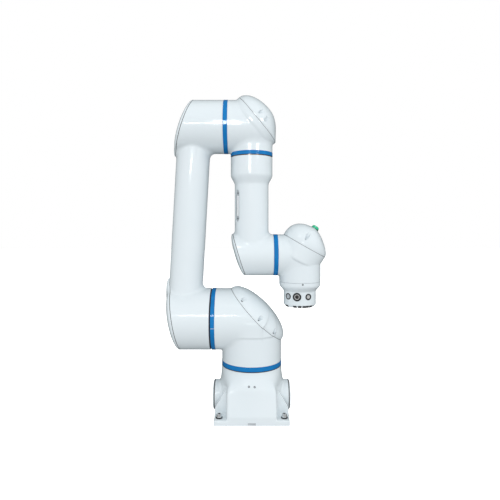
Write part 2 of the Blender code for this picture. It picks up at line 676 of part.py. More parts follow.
def make_tool_housing():
    tool = Vector((TOOL_AXIS_X, 0, 0))
    face = tool + Z * TOOL_FACE_Z
    outer = [(TOOL_R, TOOL_CHAMFER_Z), (TOOL_R, TOOL_WAIST_Z), (0.0625, 0.4385), (0.0705, 0.4480)]
    outer += [(WRIST_V_R, TOOL_SHOULDER_Z), (WRIST_V_R, TOOL_TOP_Z)]
    inner = [(0.034, TOOL_TOP_Z), (0.034, TOOL_TOP_Z - FLOOR), (0.060, TOOL_TOP_Z - FLOOR), (0.0460, 0.440)]
    inner += [(0.0460, 0.3925), (0.0520, 0.3905)]
    profile = [(r, z - TOOL_FACE_Z) for r, z in outer + inner]
    housing = node("tool_housing", turned(profile, face, Z), white_enamel(), "axis_t")
    for angle in (*BUTTON_ANGLES.values(), CONNECTOR_ANGLE):
        out = port_axis(angle)
        radius = 0.0135 if angle == CONNECTOR_ANGLE else 0.0110
        centre = tool + Z * PORT_Z
        shape(housing, rod(radius, centre + out * 0.02, centre + out * 0.08, SMALL_SEGMENTS), "DIFFERENCE")
    flange = [(0.0158, 0), (0.0450, 0), (TOOL_FACE_R, 0.003), (0.0515, 0.0100)]
    flange += [(0.0450, 0.0130), (0.0158, 0.0130)]
    plate = node("tool_flange", turned(flange, face, Z), cast_aluminium(), "axis_t")
    for step in range(4):
        angle = math.radians(45 + 90 * step)
        at = face + Vector((math.cos(angle), math.sin(angle), 0)) * FLANGE_BOLT_CIRCLE_R
        shape(plate, rod(0.003, at - Z * 0.01, at + Z * 0.02, 10), "DIFFERENCE")
    for name, angle in BUTTON_ANGLES.items():
        push_button(name, tool + Z * PORT_Z, port_axis(angle))
    tool_connector(tool + Z * PORT_Z, port_axis(CONNECTOR_ANGLE))


def push_button(name, centre, out):
    profile = [(0, 0.0475), (0.0070, 0.0475), (0.0070, 0.0545), (0.0104, 0.0545), (0.0104, 0.0590)]
    profile += [(0.0090, 0.0602), (0, 0.0606)]
    node(name, turned(profile, centre, out, SMALL_SEGMENTS), black_plastic(), f"slide_{name}")


def tool_connector(centre, out):
    profile = [(0, 0.0475), (0.0131, 0.0475), (0.0131, 0.0605), (0.0110, 0.0605)]
    profile += [(0.0110, 0.0585), (0, 0.0585)]
    node("tool_connector", turned(profile, centre, out, SMALL_SEGMENTS), steel(), "axis_t")


# ------------------------------------------------------------------ assembly


def make_pivots():
    tool = Vector((TOOL_AXIS_X, 0, 0))
    pivot("base_frame", (0, 0, 0))
    pivot("axis_s", (0, 0, TURRET_BOTTOM_Z), "base_frame")
    pivot("axis_l", (ARM_SHOULDER_X, 0, LOWER_AXIS_Z), "axis_s")
    pivot("axis_u", (ELBOW_START_X, 0, UPPER_AXIS_Z), "axis_l")
    pivot("axis_r", (0, 0, FOREARM_TOP_Z), "axis_u")
    pivot("axis_b", (WRIST_START_X, 0, BEND_AXIS_Z), "axis_r")
    pivot("axis_t", tool + Z * TOOL_TOP_Z, "axis_b")
    for letter, fixed in zip("slurbt", ("base_frame", "axis_s", "axis_l", "axis_u", "axis_r", "axis_b")):
        pivot(f"rotor_{letter}", PIVOTS[f"axis_{letter}"][1], fixed)
    for name, angle in BUTTON_ANGLES.items():
        pivot(f"slide_{name}", tool + Z * PORT_Z + port_axis(angle) * TOOL_R, "axis_t")


def make_drives():
    low, high = Vector((0, 0, LOWER_AXIS_Z)), Vector((0, 0, UPPER_AXIS_Z))
    bend, tool = Vector((0, 0, BEND_AXIS_Z)), Vector((TOOL_AXIS_X, 0, 0))
    places = {
        "s": ("base_frame", Z * 0.045, Z * (TURRET_BOTTOM_Z - GAP), NECK_R - 2 * WALL - 0.001, True),
        "l": ("axis_s", low - X * 0.012, low + X * (ARM_SHOULDER_X + GAP), 0.0985, True),
        "u": ("axis_l", high - X * 0.215, high + X * (ELBOW_START_X - GAP), 0.0865, True),
        "r": ("axis_u", Z * 1.015, Z * (FOREARM_TOP_Z + GAP), 0.0665, False),
        "b": ("axis_r", bend - X * 0.012, bend + X * (WRIST_START_X - GAP), 0.0655, False),
        "t": ("axis_b", tool + Z * 0.560, tool + Z * (TOOL_TOP_Z + GAP), 0.0670, False),
    }
    for letter, (fixed, start, end, radius, brake) in places.items():
        drive_unit(letter, fixed, f"rotor_{letter}", f"axis_{letter}", start, end, radius, brake)


def main():
    clear_scene()
    make_pivots()
    make_base()
    make_turret()
    make_lower_arm()
    make_elbow()
    make_forearm()
    make_wrist()
    make_tool_housing()
    make_drives()


main()
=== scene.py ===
"""Looks of the six-axis arm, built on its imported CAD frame. Metres, +Z up; the base's front faces -Y.

Each casting is a smooth union of tubes, meshed as one skin and then cut flat where it meets a neighbour.
Each cover grows from the outline that its casting has in the seam plane, so the two always meet.
"""

import math

import bmesh
import bpy
import numpy as np
from mathutils import Matrix, Vector


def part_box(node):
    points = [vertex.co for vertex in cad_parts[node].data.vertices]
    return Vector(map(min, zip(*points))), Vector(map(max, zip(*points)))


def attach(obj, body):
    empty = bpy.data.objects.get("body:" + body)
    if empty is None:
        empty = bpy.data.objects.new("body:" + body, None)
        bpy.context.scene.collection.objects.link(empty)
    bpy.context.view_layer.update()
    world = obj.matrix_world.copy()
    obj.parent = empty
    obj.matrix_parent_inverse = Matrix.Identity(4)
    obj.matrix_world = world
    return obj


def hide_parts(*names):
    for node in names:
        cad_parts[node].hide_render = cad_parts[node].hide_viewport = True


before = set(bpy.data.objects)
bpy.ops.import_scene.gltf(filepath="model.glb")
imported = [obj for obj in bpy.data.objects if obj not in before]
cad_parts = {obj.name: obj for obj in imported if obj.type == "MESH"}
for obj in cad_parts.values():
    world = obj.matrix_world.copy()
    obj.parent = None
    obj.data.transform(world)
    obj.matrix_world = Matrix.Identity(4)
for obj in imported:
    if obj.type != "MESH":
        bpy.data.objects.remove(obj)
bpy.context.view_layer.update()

# ---- sizes from the frame


def span(node, axis):
    low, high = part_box(node)
    return low[axis], high[axis]


def middle(node, axis):
    low, high = span(node, axis)
    return (low + high) / 2


def half(node, axis):
    low, high = span(node, axis)
    return (high - low) / 2


GAP = 0.0003
PROUD = 0.0006
LOWER_Z = middle("l_joint_ring", 2)
UPPER_Z = middle("u_joint_ring", 2)
BEND_Z = middle("b_joint_ring", 2)
TOOL_X = middle("tool_housing", 0)
NECK_TOP = span("base_casting", 2)[1]
SHOULDER_R = half("l_joint_ring", 2) - PROUD
TURRET_R = half("s_joint_ring", 0) - PROUD
ELBOW_R = half("u_joint_ring", 2) - PROUD
SLEEVE_R = half("r_joint_ring", 0) - PROUD
BEND_R = half("b_joint_ring", 2) - PROUD
TURRET_LOW = span("turret_casting", 2)[0]
TURRET_END = span("turret_casting", 0)[0]
ARM_SHOULDER_FACE = span("l_joint_seal", 0)[0] - GAP
ARM_ELBOW_FACE = span("lower_arm_casting", 0)[1]
ELBOW_FACE = span("elbow_casting", 0)[0]
ELBOW_LOW = span("elbow_casting", 2)[0]
FOREARM_TOP = span("forearm_casting", 2)[1]
BEND_FACE = span("forearm_casting", 0)[1]
WRIST_FACE = span("b_joint_ring", 0)[1] + GAP
WRIST_LOW = span("wrist_casting", 2)[0]

# Seams in the arm's plane, as (x, z) of their two ends
TURRET_SEAM = ((-0.071, 0.439), (0.106, 0.259))
SHOULDER_CAP = ((-0.2985, 0.474), (-0.2520, 0.212))
ELBOW_CAP = ((-0.2085, 1.125), (-0.2790, 0.920))
ELBOW_SEAM = ((-0.048, 1.136), (0.0855, 0.975))
BEND_CAP = ((-0.0675, 0.637), (-0.0225, 0.4915))
WRIST_SEAM = ((0.118, 0.640), (0.267, 0.556))

WALL, TUBE_WALL = 0.009, 0.0075
FLOOR = 0.008
CABLE_R = 0.034
RIM = 0.0009
RIM_STEPS, SKIN_STEPS = 4, 4
CELL = 0.0034
FINE_CELL = CELL * 0.8

TURN = 2 * math.pi
SHARP, COVER_SHARP = math.radians(38), math.radians(50)
X, Y, Z = np.eye(3)


# ---- distance fields
# A field takes an N x 3 array of points and is negative inside the shape.


def bar_x(p, z, radius):
    return np.hypot(p[:, 1], p[:, 2] - z) - radius


def bar_z(p, x, radius):
    return np.hypot(p[:, 0] - x, p[:, 1]) - radius


def bar_between(p, start, end, radius):
    """A round-ended bar from point to point."""
    start = np.array(start)
    line = np.array(end) - start
    share = np.clip((p - start) @ line / (line @ line), 0, 1)
    return np.linalg.norm(p - start - share[:, None] * line, axis=1) - radius


def joined(a, b, fillet):
    """The union of two fields with a fillet in the corner between them."""
    share = np.clip(0.5 + 0.5 * (b - a) / fillet, 0, 1)
    return b + (a - b) * share - fillet * share * (1 - share)


def front_fillet(p, front, side, reach):
    """A fillet that is tight on the arm's front and back, and wider where the arm is seen in outline."""
    return front + (side - front) * np.clip(1 - np.abs(p[:, 1]) / reach, 0, 1)


def common(a, b, rounding=1e-6):
    """What two fields share, with the edge between them rounded."""
    return -joined(-a, -b, rounding)


def any_of(*fields):
    return np.minimum.reduce(fields)


def plate(p, low, high, rounding):
    """A box with rounded edges."""
    low, high = np.array(low), np.array(high)
    away = np.abs(p - (low + high) / 2) - (high - low) / 2 + rounding
    outside = np.linalg.norm(np.maximum(away, 0), axis=1)
    return outside + np.minimum(away.max(axis=1), 0) - rounding


BOW_START, BOW_END = 0.012, 0.065


class Seam:
    """A plane square to the arm's plane: its centre, its direction along the seam and its outward normal.

    Shapes are made round the flat plane, and bend() then bows the seam towards the front and the back.
    """

    def __init__(self, ends, outward, bow=0.0, half_wide=0.1):
        self.bow, self.half_wide = bow, half_wide
        start = np.array((ends[0][0], 0, ends[0][1]))
        end = np.array((ends[1][0], 0, ends[1][1]))
        self.centre = (start + end) / 2
        self.half_long = np.linalg.norm(end - start) / 2
        self.along = (end - start) / np.linalg.norm(end - start)
        self.normal = np.cross(self.along, Y)
        if self.normal @ np.array(outward) < 0:
            self.normal = -self.normal

    def depth(self, p):
        return -(p - self.centre) @ self.normal

    def at(self, u, v=0.0, rise=0.0):
        return self.centre + u * self.along + v * Y + rise * self.normal

    def cut(self, lift):
        """The plane just under the seam, as the end of a casting."""
        return self.at(0, 0, -lift), self.normal

    def bend(self, p):
        share = np.clip((BOW_END - self.depth(p)) / (BOW_END - BOW_START), 0, 1)
        amount = self.bow * (p[:, 1] / self.half_wide) ** 2 * share * share * (3 - 2 * share)
        return p - amount[:, None] * self.normal

    def bent(self, field):
        return lambda p: field(self.bend(p))


def oval_skirt(p, seam, half_wide, depth, draft, rounding, end_draft=None):
    """The tapering oval skirt under a cover. Its ends along the seam can taper more than its sides."""
    below = seam.depth(p)
    share = np.clip(below / depth, -0.2, 1.2)
    shrink = draft * share
    end_shrink = shrink if end_draft is None else end_draft * share
    u = (p - seam.centre) @ seam.along / (seam.half_long - end_shrink)
    v = p[:, 1] / (half_wide - shrink)
    side = (np.hypot(u, v) - 1) * (half_wide - shrink)
    return common(side, below - depth, rounding)


# ---- meshing


def gradient(field, p, step=2e-5):
    slope = np.empty_like(p)
    for k in range(3):
        shift = np.zeros(3)
        shift[k] = step
        slope[:, k] = (field(p + shift) - field(p - shift)) / (2 * step)
    return slope


def skin(field, low, high, cell):
    """The zero surface of a field: one vertex in each grid cell that it crosses, moved onto the surface."""
    low, high = np.array(low), np.array(high)
    counts = np.ceil((high - low) / cell).astype(int) + 1
    axes = [low[k] + cell * np.arange(counts[k]) for k in range(3)]
    grid = np.stack(np.meshgrid(*axes, indexing="ij"), axis=-1)
    value = field(grid.reshape(-1, 3)).reshape(counts)
    cells = counts - 1
    total = np.zeros((*cells, 3))
    hits = np.zeros(cells)
    crossings = []
    for k in range(3):
        first = np.take(value, range(cells[k]), axis=k)
        second = np.take(value, range(1, counts[k]), axis=k)
        crossed = (first < 0) != (second < 0)
        share = np.where(crossed, first / np.where(crossed, first - second, 1), 0)
        where = np.take(grid, range(cells[k]), axis=k)
        where[..., k] += share * cell
        where *= crossed[..., None]
        side_a, side_b = (k + 1) % 3, (k + 2) % 3
        for from_a, from_b in ((0, 0), (0, 1), (1, 0), (1, 1)):
            part = [slice(None)] * 3
            part[side_a] = slice(from_a, cells[side_a] + from_a)
            part[side_b] = slice(from_b, cells[side_b] + from_b)
            total += where[tuple(part)]
            hits += crossed[tuple(part)]
        crossings.append((crossed, first < 0))
    active = hits > 0
    number = np.full(cells, -1)
    number[active] = np.arange(active.sum())
    points = total[active] / hits[active][:, None]
    quads = []
    for k, (crossed, inward) in enumerate(crossings):
        side_a, side_b = (k + 1) % 3, (k + 2) % 3
        index = np.argwhere(crossed)
        inner = (index[:, side_a] > 0) & (index[:, side_a] < cells[side_a])
        inner &= (index[:, side_b] > 0) & (index[:, side_b] < cells[side_b])
        index = index[inner]
        corners = []
        for back_a, back_b in ((1, 1), (0, 1), (0, 0), (1, 0)):
            at = index.copy()
            at[:, side_a] -= back_a
            at[:, side_b] -= back_b
            corners.append(number[tuple(at.T)])
        quad = np.stack(corners, axis=1)
        outward = inward[tuple(index.T)]
        quad[~outward] = quad[~outward][:, ::-1]
        quads.append(quad)
    for _ in range(SKIN_STEPS):
        slope = gradient(field, points)
        move = (field(points) / np.maximum((slope**2).sum(axis=1), 0.05))[:, None] * slope
        points = points - np.clip(move, -cell / 2, cell / 2)
    return points, np.concatenate(quads)


def flat_end(bm, field, at, normal, below=None):
    """Cuts off what lies beyond a plane, rounds every rim that the cut leaves and closes the end."""
    at, normal = np.array(at, float), np.array(normal, float)
    verts = [v for v in bm.verts if below is None or v.co.z < below]
    chosen = set(verts)
    edges = [e for e in bm.edges if e.verts[0] in chosen and e.verts[1] in chosen]
    faces = [f for f in bm.faces if all(v in chosen for v in f.verts)]
    plane = Vector(at - normal * RIM)
    cut = bmesh.ops.bisect_plane(
        bm, geom=verts + edges + faces, plane_co=plane, plane_no=Vector(normal), clear_outer=True, dist=1e-7
    )
    rim = [e for e in cut["geom_cut"] if isinstance(e, bmesh.types.BMEdge) and len(e.link_faces) == 1]
    ring = list(dict.fromkeys(vert for edge in rim for vert in edge.verts))
    points = np.array([v.co for v in ring])
    slope = gradient(field, points)
    slope -= (slope @ normal)[:, None] * normal
    slope /= np.maximum(np.linalg.norm(slope, axis=1), 1e-9)[:, None]
    last = dict(zip(ring, ring))
    for step in range(1, RIM_STEPS + 1):
        turn = 0.5 * math.pi * step / RIM_STEPS
        moved = points - slope * RIM * (1 - math.cos(turn)) + normal * RIM * math.sin(turn)
        now = {vert: bm.verts.new(co) for vert, co in zip(ring, moved)}
        edges = []
        for edge in rim:
            a, b = edge.verts
            bm.faces.new((last[a], last[b], now[b], now[a]))
            edges.append(bm.edges.get((now[a], now[b])))
        last = now
    for edge in edges:
        edge.smooth = False
    bmesh.ops.triangle_fill(bm, use_beauty=True, edges=edges, normal=Vector(normal))


def bend_mesh(mesh, seam):
    co = np.empty(len(mesh.vertices) * 3)
    mesh.vertices.foreach_get("co", co)
    mesh.vertices.foreach_set("co", seam.bend(co.reshape(-1, 3)).ravel())
    mesh.update()
    return mesh


def loaded(verts, faces):
    """A bmesh from lists of points and faces."""
    mesh = bpy.data.meshes.new("raw")
    mesh.from_pydata(verts, [], faces)
    bm = bmesh.new()
    bm.from_mesh(mesh)
    bpy.data.meshes.remove(mesh)
    return bm


def taken(bm):
    """The mesh of a bmesh, which is then freed."""
    mesh = bpy.data.meshes.new("made")
    bm.to_mesh(mesh)
    bm.free()
    return mesh


def smooth(mesh, angle=SHARP):
    mesh.shade_smooth()
    mesh.set_sharp_from_angle(angle=angle)
    return mesh


def casting(body, outer, cavity, low, high, ends, cell=CELL, seam=None, cutters=()):
    """The closed casting of a body: its skin, with flat ends given as (point, outward normal, top limit)."""

    def hollow(p):
        return np.maximum(outer(p), -cavity(p))

    field = seam.bent(hollow) if seam else hollow
    points, quads = skin(field, low, high, cell)
    bm = loaded(points.tolist(), quads.tolist())
    for end in ends:
        flat_end(bm, field, *end)
    loose = [v for v in bm.verts if not v.link_faces]
    bmesh.ops.delete(bm, geom=loose, context="VERTS")
    bmesh.ops.recalc_face_normals(bm, faces=bm.faces)
    for face in bm.faces:
        face.smooth = True
    mesh = taken(bm)
    if seam:
        mesh = bend_mesh(mesh, seam)
    if cutters:
        mesh = cut_by(mesh, cutters)
    piece(f"{body}_shell", mesh, ENAMEL, body, f"{body}_casting")


def grid_mesh(rows, closed_rows=False, gap=None, sharp=SHARP):
    """A mesh from rows of points, each row a closed loop or one point.

    Closed rows make a ring. The row numbered gap is not joined to the one after it.
    """
    verts, faces, starts = [], [], []
    for row in rows:
        starts.append(len(verts))
        verts.extend(tuple(v) for v in row)
    for k in range(len(rows) - (0 if closed_rows else 1)):
        if k == gap:
            continue
        after = (k + 1) % len(rows)
        low, high = starts[k], starts[after]
        n = max(len(rows[k]), len(rows[after]))
        for i in range(n):
            j = (i + 1) % n
            if len(rows[k]) == 1:
                faces.append((low, high + j, high + i))
            elif len(rows[after]) == 1:
                faces.append((low + i, low + j, high))
            else:
                faces.append((low + i, low + j, high + j, high + i))
    bm = loaded(verts, faces)
    bmesh.ops.recalc_face_normals(bm, faces=bm.faces)
    return smooth(taken(bm), sharp)


def softened(profile, by, steps=3):
    """A turned profile with its corners rounded off, apart from those on the axis.

    Long sides also get a point next to the rounding, which keeps their shading flat.
    """
    done = []
    ring = profile[0][0] > 0
    for k, corner in enumerate(profile):
        if corner[0] == 0 or (not ring and k in (0, len(profile) - 1)):
            done.append(corner)
            continue
        here = np.array(corner, float)
        reached, held = [], []
        for other in (k - 1, (k + 1) % len(profile)):
            side = np.array(profile[other], float) - here
            length = np.linalg.norm(side)
            reached.append(here + side / length * min(by, 0.45 * length))
            held.append([tuple(here + side / length * 1.6 * by)] if length > 5 * by else [])
        done += held[0]
        for step in range(steps + 1):
            t = step / steps
            done.append(tuple((1 - t) ** 2 * reached[0] + 2 * t * (1 - t) * here + t**2 * reached[1]))
        done += held[1]
    return done


def hexagon(angle):
    """The radius of a hexagon whose corners are at 1."""
    return math.cos(math.pi / 6) / math.cos(angle % (math.pi / 3) - math.pi / 6)


def lathe(profile, at, axis, segments=96, hexes=()):
    """A solid turned from (radius, height) points. The points numbered in hexes lie on a hexagon instead."""
    turn = Vector(axis).to_track_quat("Z", "Y").to_matrix().to_4x4()
    place = Matrix.Translation(Vector(at)) @ turn
    rows = []
    for k, (radius, height) in enumerate(profile):
        if radius == 0:
            rows.append([place @ Vector((0, 0, height))])
            continue
        row = []
        for step in range(segments):
            angle = TURN * step / segments
            reach = radius * (hexagon(angle) if k in hexes else 1)
            row.append(place @ Vector((reach * math.cos(angle), reach * math.sin(angle), height)))
        rows.append(row)
    return grid_mesh(rows, closed_rows=profile[0][0] > 0)


def washer(inner, outer, low, high):
    return [(inner, low), (outer, low), (outer, high), (inner, high)]


def rod(radius, low, high):
    return [(0, low), (radius, low), (radius, high), (0, high)]


# ---- materials


def fill(node, values):
    for socket, value in values.items():
        node.inputs[socket.replace("_", " ")].default_value = value
    return node


def add_node(tree, kind, **values):
    return fill(tree.nodes.new("ShaderNode" + kind), values)


class Finish:
    """A procedural material: a shader whose colour, roughness and bump come from textures in object space."""

    def __init__(self, name, slot, **constants):
        self.slot = slot
        self.material = bpy.data.materials.new(name)
        self.material.use_nodes = True
        self.tree = self.material.node_tree
        self.shader = fill(self.tree.nodes["Principled BSDF"], constants)
        self.place = add_node(self.tree, "TexCoord").outputs["Object"]

    def link(self, source, target):
        self.tree.links.new(source, target)

    def lead(self, factor, made, way_in, way_out, target):
        """Leads a factor through a node into the shader."""
        self.link(factor, made.inputs[way_in])
        self.link(made.outputs[way_out], self.shader.inputs[target])

    def noise(self, scale, detail=2.0, stretch=None):
        made = add_node(self.tree, "TexNoise", Scale=scale, Detail=detail)
        place = self.place
        if stretch:
            mapping = add_node(self.tree, "Mapping", Scale=stretch)
            self.link(place, mapping.inputs["Vector"])
            place = mapping.outputs["Vector"]
        self.link(place, made.inputs["Vector"])
        return made.outputs["Fac"]

    def colour(self, factor, dark, light, low=0.3, high=0.7):
        made = add_node(self.tree, "ValToRGB")
        for stop, place, tint in zip(made.color_ramp.elements, (low, high), (dark, light)):
            stop.position = place
            stop.color = (*tint, 1)
        self.lead(factor, made, "Fac", "Color", "Base Color")

    def roughness(self, factor, low, high):
        made = add_node(self.tree, "MapRange", From_Min=0.3, From_Max=0.7, To_Min=low, To_Max=high)
        self.lead(factor, made, "Value", "Result", "Roughness")

    def bump(self, factor, strength, distance):
        made = add_node(self.tree, "Bump", Strength=strength, Distance=distance)
        self.lead(factor, made, "Height", "Normal", "Normal")


def coat(name, slot, tint, rough, bump, stretch=None, **constants):
    """A finish made of three noises, each with its scale and detail.

    The tint goes on with two colours, the roughness with two limits, and the bump with strength and distance.
    """
    made = Finish(name, slot, **constants)
    made.colour(made.noise(*tint[:2]), *tint[2:])
    made.roughness(made.noise(*rough[:2], stretch), *rough[2:])
    made.bump(made.noise(*bump[:2], stretch), *bump[2:])
    return made


def plastic(name, slot, dark, light, low, high):
    return coat(name, slot, (60, 3, dark, light), (180, 2, low, high), (1600, 2, 0.25, 0.00015))


def metal(name, slot, dark, light, low, high, metallic=1.0):
    """Metal with fine marks that run along the piece."""
    rough, bump = (140, 3, low, high), (420, 2, 0.12, 0.0001)
    return coat(name, slot, (18, 4, dark, light), rough, bump, stretch=(1, 1, 14), Metallic=metallic)


def windings():
    """Enamelled copper wire in close turns."""
    made = Finish("copper_turns", "copper_winding", Metallic=0.9)
    wave = add_node(made.tree, "TexWave", Scale=320.0, Distortion=1.2)
    made.link(made.place, wave.inputs["Vector"])
    made.colour(wave.outputs["Fac"], (0.16, 0.05, 0.015), (0.72, 0.31, 0.12), 0.0, 1.0)
    made.roughness(made.noise(80.0), 0.28, 0.45)
    made.bump(wave.outputs["Fac"], 0.5, 0.0004)
    return made


# Cool white powder enamel: faint clouding, a fine orange peel and a clear gloss
ENAMEL = coat(
    "white_enamel_coat", "white_enamel", (7, 4, (0.770, 0.838, 0.872), (0.790, 0.852, 0.885)),
    (55, 3, 0.13, 0.16), (420, 2, 0.05, 0.0002),
    Specular_IOR_Level=0.32, Coat_Weight=0.25, Coat_Roughness=0.04,
)
BLUE = coat(
    "blue_ring_moulded", "blue_ring", (30, 3, (0.001, 0.165, 0.46), (0.002, 0.200, 0.54)),
    (160, 2, 0.09, 0.13), (900, 2, 0.12, 0.0002),
    Specular_IOR_Level=0.2, Coat_Weight=0.3, Coat_Roughness=0.05,
)
RUBBER = coat(
    "seal_rubber", "rubber_seal", (90, 4, (0.016, 0.017, 0.019), (0.045, 0.047, 0.050)),
    (240, 2, 0.60, 0.82), (1400, 2, 0.30, 0.0002),
)
WINDINGS = windings()
LENS = coat(
    "status_lens", "green_lens", (140, 3, (0.010, 0.40, 0.20), (0.020, 0.56, 0.30)),
    (300, 2, 0.10, 0.20), (500, 2, 0.10, 0.0002),
    Coat_Weight=0.8, Coat_Roughness=0.03, Emission_Strength=0.10, Emission_Color=(0.02, 0.62, 0.30, 1),
)
BOLT = metal("bolt_zinc", "bolt_steel", (0.66, 0.67, 0.68), (0.80, 0.81, 0.82), 0.10, 0.18, 0.9)
DARK_BOLT = metal("screw_dark", "bolt_steel", (0.030, 0.032, 0.036), (0.060, 0.064, 0.070), 0.30, 0.42)
STEEL = metal("drive_steel_ground", "drive_steel", (0.42, 0.43, 0.44), (0.60, 0.61, 0.62), 0.22, 0.40)
ALUMINIUM = metal("aluminium_milled", "cast_aluminium", (0.60, 0.61, 0.62), (0.80, 0.81, 0.82), 0.28, 0.42)
NICKEL = metal("connector_nickel", "connector_metal", (0.62, 0.63, 0.63), (0.76, 0.76, 0.75), 0.12, 0.22,
               0.55)
BLACK = plastic("black_moulded", "black_plastic", (0.012, 0.013, 0.014), (0.032, 0.033, 0.036), 0.38, 0.55)
# A whiter white than the enamel, used only on the forearm recess strip: partly the strip's own colour, partly
# painted highlight.
WHITE = plastic("white_moulded_and_painted_highlight", "white_enamel", (0.88, 0.91, 0.93), (0.93, 0.95, 0.96), 0.20, 0.35)
BRONZE = metal("bearing_bronze", "drive_steel", (0.10, 0.075, 0.050), (0.20, 0.155, 0.105), 0.18, 0.30)
# Pale grey: the teach button's cap and the base notch plate; on the forearm recess floor it is painted shade.
PALE = plastic("pale_grey_and_painted_recess_shade", "button_black", (0.42, 0.46, 0.49), (0.55, 0.59, 0.62), 0.25, 0.4)


# ---- pieces


def placed(name, data):
    obj = bpy.data.objects.new(name, data)
    bpy.context.scene.collection.objects.link(obj)
    return obj


def piece(name, mesh, finish, body, *nodes):
    mesh.name = name
    mesh.materials.clear()
    mesh.materials.append(finish.material)
    obj = placed(name, mesh)
    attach(obj, body)
    if nodes:
        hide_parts(*nodes)
    return obj


def turned(name, profile, at, axis, segments, finish, body, *nodes, soft=0.0, hexes=()):
    """A turned piece. Its corners are rounded by soft."""
    if soft:
        profile = softened(profile, soft)
    return piece(name, lathe(profile, at, axis, segments, hexes), finish, body, *nodes)


TURNS = 192
COVER_STEPS, INNER_STEPS = 48, 16
LONGEST_REACH, HALVINGS = 0.22, 30
POCKET_R, POCKET_FLOOR = 0.0070, 0.0075
LIFT, CAP_LIFT = 0.0005, 0.0009


class Cover:
    """A domed cover. Its rim is the casting's outline in the seam plane."""

    def __init__(self, field, seam, height, lift=LIFT, power=2.0, root=0.5, lean=0.0, lean_power=2.0):
        self.seam, self.height, self.lift = seam, height, lift
        field = seam.bent(field)
        self.law = (power, root, lean, lean_power)
        self.angles = TURN * np.arange(TURNS) / TURNS
        rays = np.cos(self.angles)[:, None] * seam.along + np.sin(self.angles)[:, None] * Y
        near, far = np.zeros(TURNS), np.full(TURNS, LONGEST_REACH)
        for _ in range(HALVINGS):
            reach = (near + far) / 2
            inside = field(seam.centre + reach[:, None] * rays) < 0
            near, far = np.where(inside, reach, near), np.where(inside, far, reach)
        self.reach = (near + far) / 2

    def rise(self, rho, angle):
        power, root, lean, lean_power = self.law
        share = np.maximum(0.0, rho * np.cos(angle))
        return (1 - rho**power) ** root * (1 - lean * share**lean_power)

    def ring(self, inset, rho, rise):
        flat = (self.reach - inset) * rho
        points = flat[:, None] * np.cos(self.angles)[:, None] * self.seam.along
        points = points + flat[:, None] * np.sin(self.angles)[:, None] * Y
        return self.seam.centre + points + np.broadcast_to(rise, TURNS)[:, None] * self.seam.normal

    def shell(self, wall, pockets=()):
        """The cover. Each pocket is a (u, v) where a round bore runs square to the seam, down to a screw."""
        edge = ((RIM, 0), (0.3 * RIM, 0.3 * RIM), (0, RIM))
        rows = [self.ring(inset, 1, self.lift + rise) for inset, rise in edge]
        foot = self.lift + RIM
        for step in range(1, COVER_STEPS):
            rho = math.cos(0.5 * math.pi * step / COVER_STEPS)
            rows.append(self.ring(0, rho, foot + self.height * self.rise(rho, self.angles)))
        pole = len(rows)
        rows.append([self.seam.at(0, 0, foot + self.height)])
        rows.append([self.seam.at(0, 0, foot + self.height - wall)])
        for step in reversed(range(INNER_STEPS)):
            rho = math.cos(0.5 * math.pi * step / INNER_STEPS)
            rows.append(self.ring(wall, rho, self.lift + (self.height - wall) * self.rise(rho, self.angles)))
        shell = grid_mesh(rows, True, pole, COVER_SHARP)
        if pockets:
            profile = softened(rod(POCKET_R, POCKET_FLOOR, 0.12), 0.0015)
            cutters = [lathe(profile, self.seam.at(u, v), self.seam.normal, 40) for u, v in pockets]
            shell = smooth(cut_by(shell, cutters))
        return bend_mesh(shell, self.seam)

    def top(self, u, v=0.0):
        """The point of the skin over (u, v)."""
        angle = math.atan2(v, u) % TURN
        reach = np.interp(angle, [*self.angles, TURN], [*self.reach, self.reach[0]])
        rho = min(math.hypot(u, v) / reach, 1)
        flat = self.seam.at(u, v, self.lift + RIM + self.height * float(self.rise(rho, np.array(angle))))
        return self.seam.bend(flat[None])[0]

    def gasket(self, width=0.005):
        inset = 0.0007
        corners = ((inset, -1), (inset, 1), (width, 1), (width, -1))
        rows = [self.ring(inward, 1, side * self.lift) for inward, side in corners]
        return bend_mesh(grid_mesh(rows, True), self.seam)


def screw(name, at, normal, body, radius=0.0030, finish=DARK_BOLT):
    """A flush socket screw."""
    profile = [(0, -0.004), (radius * 0.6, -0.004), (radius, -0.0012), (radius, 0.0003)]
    profile += [(radius * 0.86, 0.0007), (radius * 0.55, 0.0007), (radius * 0.55, -0.0012), (0, -0.0014)]
    return turned(name, profile, at, normal, 24, finish, body, hexes=(5, 6))


def covered(name, body, field, seam, node, height, wall=0.005, pockets=(), **law):
    cover = Cover(field, seam, height, **law)
    piece(name, cover.shell(wall, pockets), ENAMEL, body, node)
    piece(f"{name}_gasket", cover.gasket(), RUBBER, body)
    for number, (u, v) in enumerate(pockets, 1):
        floor = seam.bend(seam.at(u, v, POCKET_FLOOR)[None])[0]
        screw(f"{name}_screw_{number}", floor + seam.normal * 0.0008, seam.normal, body, 0.0042)
    return cover


def rim_pockets(seam, places, half_wide, inset):
    """Pockets on both sides of the arm's plane, a little inside the rim."""
    found = []
    for u in places:
        edge = half_wide * math.sqrt(1 - (u / seam.half_long) ** 2)
        found += [(u, -edge + inset), (u, edge - inset)]
    return found


def cut_by(mesh, cutters):
    """The mesh with closed cutters taken out of it."""
    target = placed("target", mesh)
    helpers = [placed("cutter", cutter) for cutter in cutters]
    for helper in helpers:
        modifier = target.modifiers.new("cut", "BOOLEAN")
        modifier.operation = "DIFFERENCE"
        modifier.solver = "MANIFOLD"
        modifier.object = helper
    graph = bpy.context.evaluated_depsgraph_get()
    made = bpy.data.meshes.new_from_object(target.evaluated_get(graph))
    for obj in [target, *helpers]:
        bpy.data.objects.remove(obj)
    return made


def box_mesh(low, high):
    bm = bmesh.new()
    bmesh.ops.create_cube(bm, size=1.0)
    low, high = Vector(low), Vector(high)
    for vert in bm.verts:
        vert.co = Vector([(low[k] + high[k]) / 2 + vert.co[k] * (high[k] - low[k]) for k in range(3)])
    return taken(bm)


